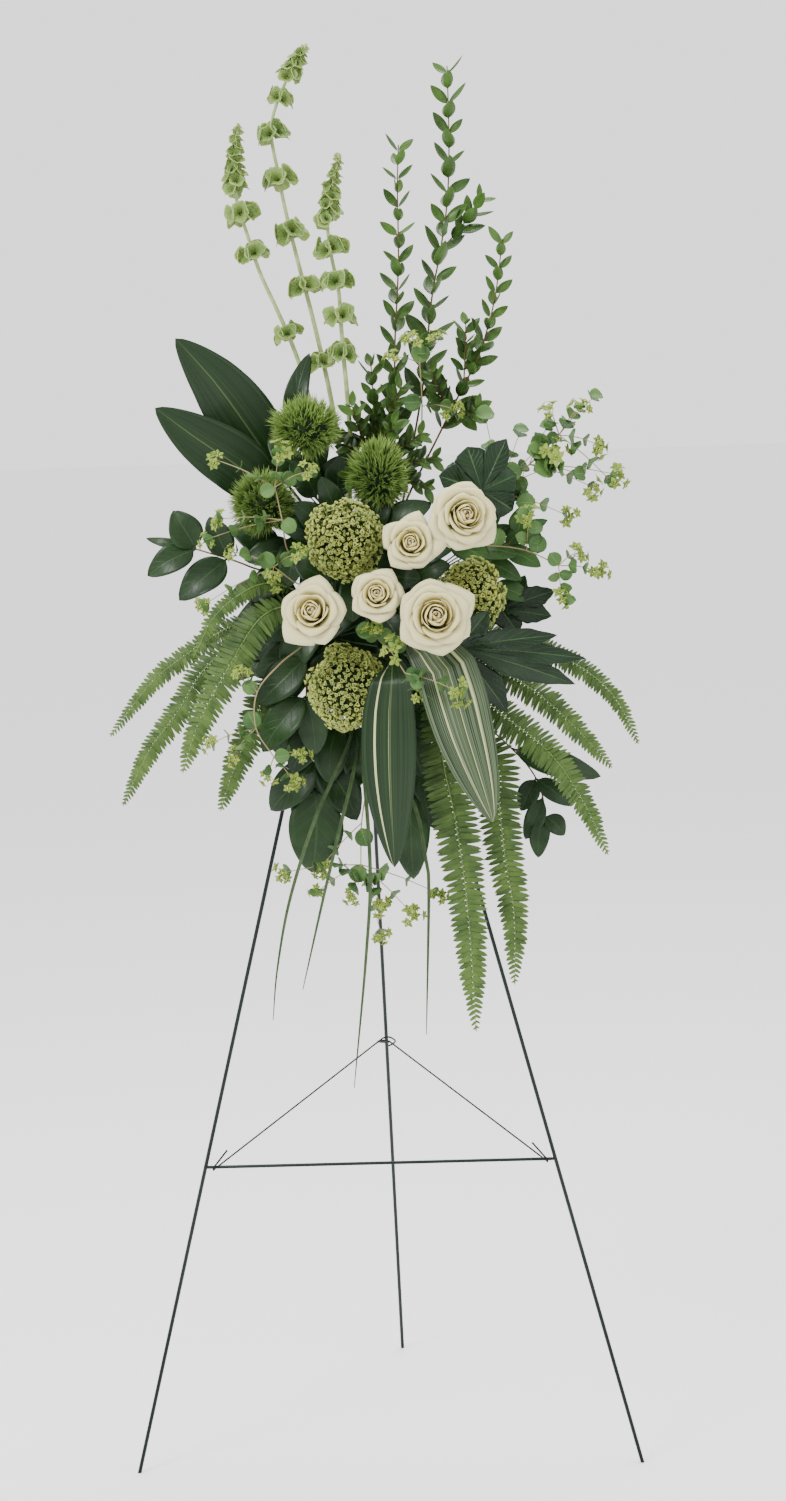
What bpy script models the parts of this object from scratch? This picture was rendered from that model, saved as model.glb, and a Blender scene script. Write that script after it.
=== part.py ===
"""A standing funeral spray: cut flowers and leaves in a caged block of wet foam, hung on a folding wire easel.

Units are metres, +Z is up, +X is the viewer's right and the viewer stands at -Y. The origin is on the floor,
half way along the depth of the easel and midway between its two front feet.
"""
import math
import random

import bpy
from mathutils import Matrix, Vector

# Easel: a 48 inch wire easel, so each front leg is 1.219 long from the floor to the top bar
LEG_LENGTH = 1.219
LEG_RADIUS = 0.0024
FRONT_Y = -0.150
BACK_Y = 0.285
FOOT_SPREAD = 0.310
TOP_SPREAD = 0.012
FRONT_LEAN = 0.120
TOP_BAR_HALF = 0.032
CROSS_BAR_Z = 0.375
CROSS_BAR_RADIUS = 0.0020
BRACE_RADIUS = 0.00115
BRACE_Z = 0.461
GAP = 0.0003

TOP_Y = FRONT_Y + FRONT_LEAN
TOP_Z = math.sqrt(LEG_LENGTH ** 2 - (FOOT_SPREAD - TOP_SPREAD) ** 2 - FRONT_LEAN ** 2)
PIVOT = Vector((0, TOP_Y, TOP_Z))
EYE_RADIUS = 2 * LEG_RADIUS + GAP

# Foam block in its plastic cage, which leans against the front legs and hooks over the top bar
FOAM_WIDTH = 0.124
FOAM_HEIGHT = 0.208
FOAM_DEPTH = 0.080
CAGE_WALL = 0.0018
CAGE_BAR = 0.003
CAGE_TOP_BELOW_BAR = 0.022
HOOK_X = 0.024
HOOK_WIDTH = 0.008
FRONT_COLUMNS = 3
FRONT_ROWS = 5
HOLES_DEEP = 4
HOLE_DEPTH = 0.035
SIDE_HOLE_DEPTH = 0.024
HOLE_EASE = 1.75
STRAIGHT_OUT = 0.008

# A point of a plant is written as it shows against an upright plane through the spray, from the viewer's eye,
# with its own depth: seen() then gives its place
EYE = Vector((0.188, -3.650, 1.382))
PLANE_Y = -0.100

# Thickness of the blades, and radii of the stems
LEAF_THICKNESS = 0.0014
BROAD_LEAF_THICKNESS = 0.0012
STRAP_THICKNESS = 0.0022
BELL_STEM_RADIUS = 0.0036
BELL_TIP_RADIUS = 0.0016
MYRTLE_RADIUS = 0.0015
MYRTLE_TIP_RADIUS = 0.0009
ROSE_STEM_RADIUS = 0.0028
MOSS_STEM_RADIUS = 0.0018
FLORET_STEM_RADIUS = 0.0026
BRANCH_RADIUS = 0.0014
BRANCH_TIP_RADIUS = 0.0011
STRAP_STALK_RADIUS = 0.0022
HAND_STALK_RADIUS = 0.0016
FERN_RIB_RADIUS = 0.0010
GRASS_ROOT_RADIUS = 0.0030
TRUNK_RADIUS = 0.0012
TWIG_RADIUS = 0.0008
STAR_HALF = 0.0012

# The faces of a box whose corners are counted with z changing first, then y, then x
BOX_FACES = [(0, 1, 3, 2), (4, 6, 7, 5), (0, 4, 5, 1), (2, 3, 7, 6), (0, 2, 6, 4), (1, 5, 7, 3)]

UP = Vector((0, 0, 1))
FRONT = Vector((0, -1, 0))


def seen(x, z, y):
    """The point at depth y that shows, from the viewer's eye, at x and z of the plane at PLANE_Y."""
    share = (y - EYE.y) / (PLANE_Y - EYE.y)
    return Vector((EYE.x + (x - EYE.x) * share, y, EYE.z + (z - EYE.z) * share))


def seen_route(points):
    return [seen(*point) for point in points]


def material(name, colour, roughness, metallic=0.0):
    made = bpy.data.materials.new(name)
    made.use_nodes = True
    shader = made.node_tree.nodes["Principled BSDF"]
    shader.inputs["Base Color"].default_value = (*colour, 1)
    shader.inputs["Roughness"].default_value = roughness
    shader.inputs["Metallic"].default_value = metallic
    made.diffuse_color = (*colour, 1)
    return made


def add_object(name, mesh, finish):
    made = bpy.data.objects.new(name, mesh)
    mesh.materials.clear()
    mesh.materials.append(finish)
    bpy.context.scene.collection.objects.link(made)
    return made


def mesh_of(name, piece):
    """A mesh from a piece, which is a pair of points and faces, with its faces turned to point out."""
    points, faces = piece
    volume = 0.0
    for face in faces:
        for second, third in zip(face[1:-1], face[2:]):
            volume += points[face[0]].dot(points[second].cross(points[third]))
    if volume < 0:
        faces = [tuple(reversed(face)) for face in faces]
    mesh = bpy.data.meshes.new(name)
    mesh.from_pydata(points, [], faces)
    return mesh


def applied(made):
    """Replace an object's mesh by its evaluated one and drop its modifiers."""
    graph = bpy.context.evaluated_depsgraph_get()
    mesh = bpy.data.meshes.new_from_object(made.evaluated_get(graph))
    made.modifiers.clear()
    made.data = mesh
    return made


def combine(made, pieces, operation):
    """One Boolean of an object with a collection of pieces, by the manifold solver, which takes a second where
    the exact one takes minutes on this many pieces; the collection's objects are then removed."""
    others = bpy.data.collections.new(made.name + "_pieces")
    bpy.context.scene.collection.children.link(others)
    for number, piece in enumerate(pieces):
        mesh = piece if isinstance(piece, bpy.types.Mesh) else mesh_of(f"{made.name}_{number}", piece)
        part = bpy.data.objects.new(f"{made.name}_{number}", mesh)
        part.hide_render = True
        part.display_type = "WIRE"
        others.objects.link(part)
    join = made.modifiers.new("join", "BOOLEAN")
    join.operation = operation
    join.operand_type = "COLLECTION"
    join.collection = others
    join.solver = "MANIFOLD"
    applied(made)
    for part in list(others.objects):
        bpy.data.objects.remove(part)
    bpy.data.collections.remove(others)
    return made


def plant(name, finish, pieces):
    """One node from a first piece and the pieces that grow from it."""
    made = add_object(name, mesh_of(name, pieces[0]), finish)
    if len(pieces) > 1:
        combine(made, pieces[1:], "UNION")
    made.data.materials.clear()
    made.data.materials.append(finish)
    return made


def smooth(points, count, before_first=None):
    """Evenly spaced points along a Catmull-Rom curve through the given ones."""
    points = [Vector(point) for point in points]
    ends = [before_first or points[0] * 2 - points[1]] + points + [points[-1] * 2 - points[-2]]
    fine = []
    steps = 12
    for before, start, end, after in zip(ends, ends[1:], ends[2:], ends[3:]):
        for step in range(steps):
            t = step / steps
            fine.append(0.5 * (2 * start + (end - before) * t + (2 * before - 5 * start + 4 * end - after) * t ** 2
                               + (3 * start - before - 3 * end + after) * t ** 3))
    fine.append(points[-1])
    lengths = [0.0]
    for first, second in zip(fine, fine[1:]):
        lengths.append(lengths[-1] + (second - first).length)
    result = []
    place = 0
    for number in range(count):
        target = lengths[-1] * number / (count - 1)
        while place < len(fine) - 2 and lengths[place + 1] < target:
            place += 1
        span = lengths[place + 1] - lengths[place]
        result.append(fine[place].lerp(fine[place + 1], (target - lengths[place]) / span if span else 0))
    return result


def directions(points):
    """The direction of travel at each point of a route."""
    result = []
    for number in range(len(points)):
        before = points[max(number - 1, 0)]
        after = points[min(number + 1, len(points) - 1)]
        result.append((after - before).normalized())
    return result


def any_normal(direction):
    side = direction.cross(UP)
    if side.length < 0.1:
        side = direction.cross(FRONT)
    return side.normalized()


def rod(points, start_radius, end_radius, sides=5):
    """A round stem along the points, as a closed piece."""
    last = len(points) - 1
    return spindle(points, [start_radius + (end_radius - start_radius) * number / last
                            for number in range(last + 1)], sides)


def spindle(points, radii, sides):
    """A closed piece round the points with a radius at each of them."""
    travel = directions(points)
    normal = any_normal(travel[0])
    loops = []
    for point, direction, radius in zip(points, travel, radii):
        normal = (normal - direction * normal.dot(direction)).normalized()
        other = direction.cross(normal)
        loops.append([point + (normal * math.cos(turn) + other * math.sin(turn)) * radius
                      for turn in (math.tau * side / sides for side in range(sides))])
    corners = [corner for loop in loops for corner in loop]
    faces = [tuple(range(sides)), tuple(reversed(range(len(corners) - sides, len(corners))))]
    for row in range(len(loops) - 1):
        for side in range(sides):
            first = row * sides + side
            second = row * sides + (side + 1) % sides
            faces.append((first, first + sides, second + sides, second))
    return corners, faces


class Blade:
    """A thin closed leaf: its rim has one point at each place, its inside one on each face, and both faces are
    split into the same triangles."""

    def __init__(self):
        self.points = []
        self.faces = []

    def rim(self, point):
        self.points.append(point)
        return (len(self.points) - 1,) * 2

    def inside(self, point, lift):
        self.points += [point + lift, point - lift]
        return len(self.points) - 2, len(self.points) - 1

    def triangle(self, first, second, third):
        for face in ((first[0], second[0], third[0]), (third[1], second[1], first[1])):
            if len(set(face)) == 3:
                self.faces.append(face)

    def quad(self, first, second, third, fourth):
        on_rim = [corner[0] == corner[1] for corner in (first, second, third, fourth)]
        if on_rim[0] and on_rim[2] and (on_rim[1] or on_rim[3]):
            self.triangle(first, second, fourth)
            self.triangle(second, third, fourth)
        else:
            self.triangle(first, second, third)
            self.triangle(first, third, fourth)

    def fan(self, centre, ring):
        for first, second in zip(ring, ring[1:] + ring[:1]):
            self.triangle(centre, first, second)

    def rows(self, rows):
        for first, second in zip(rows, rows[1:]):
            for column in range(len(first) - 1):
                self.quad(first[column], first[column + 1], second[column + 1], second[column])

    def piece(self):
        return self.points, self.faces


def leaf_frame(direction, face):
    """Along, side and normal of a leaf that grows along direction and turns its upper face towards face."""
    along = direction.normalized()
    side = along.cross(face)
    if side.length < 0.05:
        side = any_normal(along)
    side.normalize()
    return along, side, side.cross(along).normalized()


def long_blade(points, half_widths, face, cup=0.15, columns=2, thickness=LEAF_THICKNESS):
    """A leaf along a route, with half_widths at each of its points and its edges raised by cup of its width."""
    blade = Blade()
    travel = directions(points)
    rows = []
    last = len(points) - 1
    for number, (point, direction, half) in enumerate(zip(points, travel, half_widths)):
        if number in (0, last):
            rows.append([blade.rim(point)] * (columns + 1))
            continue
        along, side, normal = leaf_frame(direction, face)
        row = []
        for column in range(columns + 1):
            across = 2 * column / columns - 1
            place = point + side * (half * across) + normal * (half * cup * across ** 2)
            edge = column in (0, columns)
            row.append(blade.rim(place) if edge else blade.inside(place, normal * (thickness / 2)))
        rows.append(row)
    blade.rows(rows)
    return blade.piece()


def swelling(share, tip=0.8, base=0.5):
    """The width of an oval leaf at a share of its length, 1 at its widest."""
    return max(0.0, math.sin(math.pi * share ** base)) ** tip


# Sockets in the foam: each stem stands in a hole of its own, reached through an opening of the cage
CAGE_HEIGHT = FOAM_HEIGHT + 2 * (CAGE_WALL + GAP)
CAGE_WIDTH = FOAM_WIDTH + 2 * (CAGE_WALL + GAP)
CAGE_DEPTH = FOAM_DEPTH + 2 * (CAGE_WALL + GAP)
LEAN = math.atan2(FRONT_LEAN, TOP_Z)
CAGE_BACK = LEG_RADIUS + GAP
CAGE_FRAME = (Matrix.Translation(PIVOT) @ Matrix.Rotation(-LEAN, 4, "X")
              @ Matrix.Translation((0, -CAGE_BACK - CAGE_DEPTH / 2, -CAGE_TOP_BELOW_BAR - CAGE_HEIGHT / 2)))
HOLE_STEP_X = FOAM_WIDTH / (2 * FRONT_COLUMNS)
HOLE_STEP_Z = FOAM_HEIGHT / (2 * FRONT_ROWS)
HOLE_STEP_Y = FOAM_DEPTH / HOLES_DEEP
HALF = Vector((FOAM_WIDTH, FOAM_DEPTH, FOAM_HEIGHT)) / 2
sockets = []


def hole_x(column):
    return (column - FRONT_COLUMNS + 0.5) * HOLE_STEP_X


def hole_z(row):
    return (FRONT_ROWS - 0.5 - row) * HOLE_STEP_Z


def hole_y(place):
    return (place - HOLES_DEEP / 2 + 0.5) * HOLE_STEP_Y


def socket(wall, first, second, radius):
    """Two points of a stem, at the foot of its hole and where it leaves the cage; the hole is cut later.

    A hole of the front is given by column and row, of the top or bottom by column and depth, and of the left
    or right by row and depth, all counted from the left, the top and the front."""
    if wall == "front":
        mouth, out = Vector((hole_x(first), -HALF.y, hole_z(second))), Vector((0, -1, 0))
        depth = HOLE_DEPTH
    elif wall in ("top", "bottom"):
        sign = 1 if wall == "top" else -1
        mouth, out = Vector((hole_x(first), hole_y(second), sign * HALF.z)), Vector((0, 0, sign))
        depth = HOLE_DEPTH
    else:
        sign = 1 if wall == "right" else -1
        mouth, out = Vector((sign * HALF.x, hole_y(second), hole_z(first))), Vector((sign, 0, 0))
        depth = SIDE_HOLE_DEPTH
    sockets.append((mouth, out, depth, radius))
    return [CAGE_FRAME @ (mouth - out * (depth - GAP)), CAGE_FRAME @ (mouth + out * STRAIGHT_OUT)]


def stem_line(place, radius, points, count):
    """A stem's evenly spaced points: straight out of its hole, then smoothly through the given ones."""
    root, mouth = socket(*place, radius)
    return [root] + smooth([mouth] + points, count - 1, root)


# The wire easel

def wire(name, points, radius, finish):
    """A round wire along the points, with flat ends."""
    curve = bpy.data.curves.new(name, "CURVE")
    curve.dimensions = "3D"
    curve.bevel_depth = radius
    curve.bevel_resolution = 2 if radius > 0.0015 else 0
    curve.use_fill_caps = True
    spline = curve.splines.new("POLY")
    spline.points.add(len(points) - 1)
    for spot, point in zip(spline.points, points):
        spot.co = (*point, 1)
    return add_object(name, curve, finish)


def cut_at_floor(made):
    """Cut a leg off flat at the floor and close the cut."""
    half = 0.02
    corners = [Vector((x, y, z)) for x in (-half, half) for y in (-half, half) for z in (-2 * half, 0)]
    foot = min((made.matrix_world @ Vector(point.co[:3]) for point in made.data.splines[0].points),
               key=lambda point: point.z)
    below = [corner + Vector((foot.x, foot.y, 0)) for corner in corners]
    graph = bpy.context.evaluated_depsgraph_get()
    mesh = bpy.data.meshes.new_from_object(made.evaluated_get(graph))
    finish = made.data.materials[0]
    name = made.name
    bpy.data.objects.remove(made)
    leg = add_object(name, mesh, finish)
    weld = leg.modifiers.new("weld", "WELD")
    weld.merge_threshold = 0.00001
    applied(leg)
    return combine(leg, [(below, BOX_FACES)], "DIFFERENCE")


def arc(centre, radius, start, end, count, x=0.0):
    """Points on an arc in the plane across X, with angles from +Y towards +Z."""
    angles = [start + (end - start) * number / (count - 1) for number in range(count)]
    return [centre + Vector((x, radius * math.cos(angle), radius * math.sin(angle))) for angle in angles]


def leg_x(z):
    return TOP_SPREAD + (FOOT_SPREAD - TOP_SPREAD) * (1 - z / TOP_Z)


def leg_y(z):
    return FRONT_Y + FRONT_LEAN * z / TOP_Z


def back_leg_points():
    """The back leg from below the floor up, with its top bent round the top bar into an eye."""
    foot = Vector((0, BACK_Y, 0))
    across = (PIVOT - foot).length
    slope = math.atan2(PIVOT.z, BACK_Y - PIVOT.y) + math.asin(EYE_RADIUS / across)
    down = Vector((0, math.cos(slope), -math.sin(slope)))
    start = math.atan2(down.y, -down.z)
    bend = arc(PIVOT, EYE_RADIUS, start, start + math.radians(290), 10)
    foot = bend[0] + down * (bend[0].z / -down.z)
    return [foot + down * 0.005] + bend, down


def brace_points(side, down, ring, tilt, far, tail_out):
    """One brace wire: a hook under the cross bar, a straight arm, and a curl round the back leg.

    side is -1 on the left; ring and tilt place the two strands of the curl about the brace's pivot."""
    forward = Vector((0, down.z, -down.y))
    upward = -down
    bar = Vector((side * (leg_x(CROSS_BAR_Z) - 0.010), leg_y(CROSS_BAR_Z), CROSS_BAR_Z))
    start = BRACE_PIVOT + (forward * math.cos(tilt) + upward * math.sin(tilt)) * ring
    hook_radius = CROSS_BAR_RADIUS + BRACE_RADIUS + 0.0005
    slope = math.atan2(start.z - bar.z, start.y - bar.y)
    hook = arc(bar, hook_radius, slope - math.pi / 2, -math.pi, 6)
    tail = hook[-1] + Vector((-side * 0.018, 0, tail_out))
    rear = BRACE_PIVOT * 2 - start
    turn = BRACE_PIVOT + Vector((-side * 0.0115, 0, 0))
    close = rear + Vector((side * far, 0, 0)) + (BRACE_PIVOT - rear) * 0.15
    curl = smooth([start + Vector((side * 0.004, 0, 0)) + forward * 0.0022,
                   start + Vector((-side * 0.0045, 0, 0)), turn,
                   rear + Vector((-side * 0.0035, 0, 0)), close], 12)
    return [tail] + list(reversed(hook)) + curl


back_points, LEG_DOWN = back_leg_points()
BRACE_PIVOT = back_points[0] + LEG_DOWN * ((BRACE_Z - back_points[0].z) / LEG_DOWN.z)


def make_easel(paint, bare):
    bottom = -0.005
    for name, side in (("front_leg_left", -1), ("front_leg_right", 1)):
        top = Vector((side * TOP_SPREAD, TOP_Y, TOP_Z))
        foot = Vector((side * FOOT_SPREAD, FRONT_Y, 0))
        along = (top - foot).normalized()
        end = top - along * (2 * LEG_RADIUS + GAP + LEG_RADIUS * abs(along.x))
        cut_at_floor(wire(name, [foot + along * (bottom / along.z), end], LEG_RADIUS, paint))
    wire("top_bar", [PIVOT - Vector((TOP_BAR_HALF, 0, 0)), PIVOT + Vector((TOP_BAR_HALF, 0, 0))], LEG_RADIUS, paint)
    cut_at_floor(wire("back_leg", back_points, LEG_RADIUS, paint))
    reach = leg_x(CROSS_BAR_Z) - LEG_RADIUS - CROSS_BAR_RADIUS * 0.3 - 2 * GAP
    middle = Vector((0, leg_y(CROSS_BAR_Z), CROSS_BAR_Z))
    wire("cross_bar", [middle - Vector((reach, 0, 0)), middle + Vector((reach, 0, 0))], CROSS_BAR_RADIUS, paint)
    wire("brace_wire_left", brace_points(-1, LEG_DOWN, 0.0135, math.radians(52), 0.001, 0.022), BRACE_RADIUS, bare)
    wire("brace_wire_right", brace_points(1, LEG_DOWN, 0.0100, math.radians(35), 0.003, 0.022), BRACE_RADIUS, bare)


# The foam and its cage

def box_mesh(name, size, centre, frame):
    half = Vector(size) / 2
    corners = [frame @ (Vector(centre) + Vector((x * half.x, y * half.y, z * half.z)))
               for x in (-1, 1) for y in (-1, 1) for z in (-1, 1)]
    return mesh_of(name, (corners, BOX_FACES))


def windows(length, count):
    """The centres and the size of count equal openings along a length, with a bar between them."""
    pitch = length / count
    return [(number + 0.5) * pitch - length / 2 for number in range(count)], pitch - CAGE_BAR


def make_foam(finish):
    foam = add_object("foam_block", box_mesh("foam_block", HALF * 2, (0, 0, 0), CAGE_FRAME), finish)
    holes = []
    for mouth, out, depth, radius in sockets:
        ends = [CAGE_FRAME @ (mouth - out * depth), CAGE_FRAME @ (mouth + out * 0.004)]
        holes.append(rod(ends, radius * HOLE_EASE, radius * HOLE_EASE, 4))
    combine(foam, holes, "DIFFERENCE")


def make_cage(finish):
    """A tray with a whole back, open bars on its other sides and two hooks that go over the top bar."""
    size = Vector((CAGE_WIDTH, CAGE_DEPTH, CAGE_HEIGHT))
    cage = add_object("foam_cage", box_mesh("foam_cage", size, (0, 0, 0), CAGE_FRAME), finish)
    cuts = [box_mesh("inside", (HALF + Vector((GAP,) * 3)) * 2, (0, 0, 0), CAGE_FRAME)]
    across, wide = windows(FOAM_WIDTH, FRONT_COLUMNS)
    upright, high = windows(FOAM_HEIGHT, FRONT_ROWS)
    deep = FOAM_DEPTH - CAGE_BAR
    for x in across:
        for z in upright:
            cuts.append(box_mesh("front", (wide, 0.02, high), (x, -HALF.y, z), CAGE_FRAME))
        cuts.append(box_mesh("ends", (wide, deep, CAGE_HEIGHT + 0.02), (x, 0, 0), CAGE_FRAME))
    for z in upright:
        cuts.append(box_mesh("sides", (CAGE_WIDTH + 0.02, deep, high), (0, 0, z), CAGE_FRAME))
    combine(cage, cuts, "DIFFERENCE")
    hooks = []
    reach = LEG_RADIUS + GAP
    bar_z = CAGE_HEIGHT / 2 + CAGE_TOP_BELOW_BAR
    bar_y = CAGE_DEPTH / 2 + CAGE_BACK
    for x in (-HOOK_X, HOOK_X):
        rise = bar_z + reach + CAGE_WALL - (CAGE_HEIGHT / 2 - 0.004)
        hooks.append(box_mesh("riser", (HOOK_WIDTH, CAGE_WALL, rise),
                              (x, bar_y - reach - CAGE_WALL / 2, bar_z + reach + CAGE_WALL - rise / 2), CAGE_FRAME))
        hooks.append(box_mesh("over", (HOOK_WIDTH, 2 * (reach + CAGE_WALL), CAGE_WALL),
                              (x, bar_y, bar_z + reach + CAGE_WALL / 2), CAGE_FRAME))
        hooks.append(box_mesh("lip", (HOOK_WIDTH, CAGE_WALL, reach + CAGE_WALL + 0.002),
                              (x, bar_y + reach + CAGE_WALL / 2, bar_z + (reach + CAGE_WALL - 0.002) / 2),
                              CAGE_FRAME))
    combine(cage, hooks, "UNION")


# Flowers

def cup(base, direction, length, mouth, sides, turn):
    """A bell's open shell: a funnel that is hollow down to a third of its length."""
    along = direction.normalized()
    first = any_normal(along)
    second = along.cross(first)
    points = []
    for side in range(sides):
        angle = turn + math.tau * side / sides
        flare = mouth * (1 + 0.12 * math.cos(2 * angle))
        points.append(base + along * length + (first * math.cos(angle) + second * math.sin(angle)) * flare)
    points += [base, base + along * (0.30 * length)]
    faces = []
    for side in range(sides):
        other = (side + 1) % sides
        faces += [(side, other, sides + 1), (other, side, sides)]
    return points, faces


def bells(name, finish, place, points, whorls, top_cups, seed):
    """A stem of bells of Ireland: whorls of shells round it and smaller ones crowded at its tip.

    whorls are shares of the stem's length."""
    draw = random.Random(seed)
    line = stem_line(place, BELL_STEM_RADIUS, seen_route(points), 13)
    pieces = [rod(line, BELL_STEM_RADIUS, BELL_TIP_RADIUS, 5)]
    travel = directions(line)

    def at(share):
        place = share * (len(line) - 1)
        number = min(int(place), len(line) - 2)
        return line[number].lerp(line[number + 1], place - number), travel[number]

    for share, size in whorls:
        centre, along = at(share)
        side = any_normal(along)
        start = draw.uniform(0, math.tau)
        for number in range(4):
            turn = Matrix.Rotation(start + math.tau * number / 4, 3, along)
            out = (turn @ side + along * draw.uniform(0.15, 0.45)).normalized()
            pieces.append(cup(centre + out * 0.0004 + along * draw.uniform(-0.002, 0.002), out, 0.0195 * size,
                              0.0108 * size, 6, draw.uniform(0, 1)))
    low, high, count = top_cups
    for number in range(count):
        share = low + (high - low) * number / (count - 1)
        centre, along = at(share)
        turn = Matrix.Rotation(number * 2.4, 3, along)
        out = (turn @ any_normal(along) + along * 0.7).normalized()
        size = 1 - 0.55 * number / count
        pieces.append(cup(centre, out, 0.015 * size, 0.0085 * size, 5, number))
    return plant(name, finish, pieces)


def petal(centre, frame, angle, profile, spread, spiral):
    """A petal wrapped round a rose's axis, from a point by the axis: profile lists radius and height up to its rim.
    """
    first, second, axis = frame
    blade = Blade()
    columns = 2
    last = len(profile) - 1
    knots = [(0.0015, profile[0][1] * 0.5)] + profile
    rows = []
    for row, ((radius, height), half) in enumerate(zip(profile, spread)):
        cells = []
        for column in range(columns + 1):
            across = 2 * column / columns - 1
            turn = angle + across * half
            out = first * math.cos(turn) + second * math.sin(turn)
            pointed = (1 - abs(across)) * 0.10 * radius if row == last else 0
            place = centre + out * (radius + spiral * across + pointed) + axis * height
            if row == last or column in (0, columns):
                cells.append(blade.rim(place))
            else:
                steps = zip(knots[row:row + 2], knots[row + 1:row + 3])
                lifts = [(out * (after[1] - before[1]) + axis * (before[0] - after[0])).normalized()
                         for before, after in steps]
                lift = (lifts[0] + lifts[1]).normalized()
                cells.append(blade.inside(place, lift * (LEAF_THICKNESS / 2)))
        rows.append(cells)
    out = first * math.cos(angle) + second * math.sin(angle)
    foot = blade.rim(centre + out * knots[0][0] + axis * knots[0][1])
    blade.rows([[foot] * (columns + 1)] + rows)
    return blade.piece()


def rose(name, finish, place, centre, facing, radius, seed):
    """A rose on its stem: rings of petals round a bud, the outer ring with its rims rolled back."""
    draw = random.Random(seed)
    head = seen(*centre)
    axis = Vector(facing).normalized()
    first = any_normal(axis)
    frame = (first, axis.cross(first), axis)
    foot = head - axis * (0.62 * radius)
    line = stem_line(place, ROSE_STEM_RADIUS, [foot - axis * 0.016, foot + axis * 0.004], 6)
    pieces = [rod(line, ROSE_STEM_RADIUS, ROSE_STEM_RADIUS, 4)]
    heights = (-0.26, 0.06, 0.50, 0.96)
    pieces.append(spindle([foot + axis * (height * radius) for height in heights],
                          [share * radius for share in (0.08, 0.28, 0.27, 0.17)], 5))
    rings = (
        (5, ((0.74, 0.22), (1.00, 0.62), (1.05, 0.52)), (0.58, 0.66, 0.40), 0.05),
        (4, ((0.58, 0.34), (0.68, 0.86)), (0.72, 0.66), 0.05),
        (3, ((0.38, 0.45), (0.41, 1.00)), (0.90, 0.84), 0.04),
    )
    start = draw.uniform(0, math.tau)
    for number, (count, profile, spread, spiral) in enumerate(rings):
        for step in range(count):
            angle = start + number * 0.6 + math.tau * step / count
            grown = 1 + draw.uniform(-0.04, 0.04)
            shape = [(r * radius * grown, h * radius) for r, h in profile]
            pieces.append(petal(foot, frame, angle, shape, spread, spiral * radius))
    return plant(name, finish, pieces)


def ball(centre, radii, facing, kind, seed):
    """A dense head: a rounded core whose front faces each carry a needle or a sunken-centred floret."""
    draw = random.Random(seed)
    facing = Vector(facing).normalized()
    golden = (1 + math.sqrt(5)) / 2
    corners = [Vector(corner).normalized() for corner in (
        (-1, golden, 0), (1, golden, 0), (-1, -golden, 0), (1, -golden, 0), (0, -1, golden), (0, 1, golden),
        (0, -1, -golden), (0, 1, -golden), (golden, 0, -1), (golden, 0, 1), (-golden, 0, -1), (-golden, 0, 1))]
    faces = [(a, b, c) for a in range(12) for b in range(a + 1, 12) for c in range(b + 1, 12)
             if all((corners[i] - corners[j]).length < 1.1 for i, j in ((a, b), (b, c), (a, c)))]
    points = list(corners)
    middle_of = {}

    def middle(first, second):
        key = (min(first, second), max(first, second))
        if key not in middle_of:
            points.append((points[first] + points[second]).normalized())
            middle_of[key] = len(points) - 1
        return middle_of[key]

    quarters = []
    for a, b, c in faces:
        if (points[b] - points[a]).cross(points[c] - points[a]).dot(points[a]) < 0:
            b, c = c, b
        ab, bc, ca = middle(a, b), middle(b, c), middle(c, a)
        quarters += [(a, ab, ca), (ab, b, bc), (ca, bc, c), (ab, bc, ca)]
    size = Vector(radii)
    solid = [centre + Vector((point.x * size.x, point.y * size.y, point.z * size.z)) * draw.uniform(0.92, 1.0)
             for point in points]
    result = []
    for face in quarters:
        normal = (points[face[0]] + points[face[1]] + points[face[2]]).normalized()
        if normal.dot(facing) < 0.20:
            result.append(face)
            continue
        middle_point = (solid[face[0]] + solid[face[1]] + solid[face[2]]) / 3
        low = len(solid)
        if kind == "needles":
            solid += [middle_point.lerp(solid[corner], 0.28) for corner in face]
            lean = Vector([draw.uniform(-0.3, 0.3) for _ in range(3)])
            solid.append(middle_point + (normal + lean).normalized() * draw.uniform(0.012, 0.017))
        else:
            raised = normal * draw.uniform(0.004, 0.008)
            solid += [middle_point.lerp(solid[corner], 0.80) + raised for corner in face]
            solid.append(middle_point + normal * 0.002)
        for first, second in ((0, 1), (1, 2), (2, 0)):
            result.append((face[first], face[second], low + second, low + first))
            result.append((low + first, low + second, low + 3))
    return solid, result


def head_on_stem(name, finish, place, centre, radii, facing, kind, stem_radius, seed):
    middle = seen(*centre)
    backward = Vector(facing).normalized() * -1
    foot = middle + Vector((backward.x * radii[0], backward.y * radii[1], backward.z * radii[2])) * 0.80
    line = stem_line(place, stem_radius, [foot + backward * 0.012, middle], 6)
    return plant(name, finish, [rod(line, stem_radius, stem_radius, 4), ball(middle, radii, facing, kind, seed)])


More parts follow.
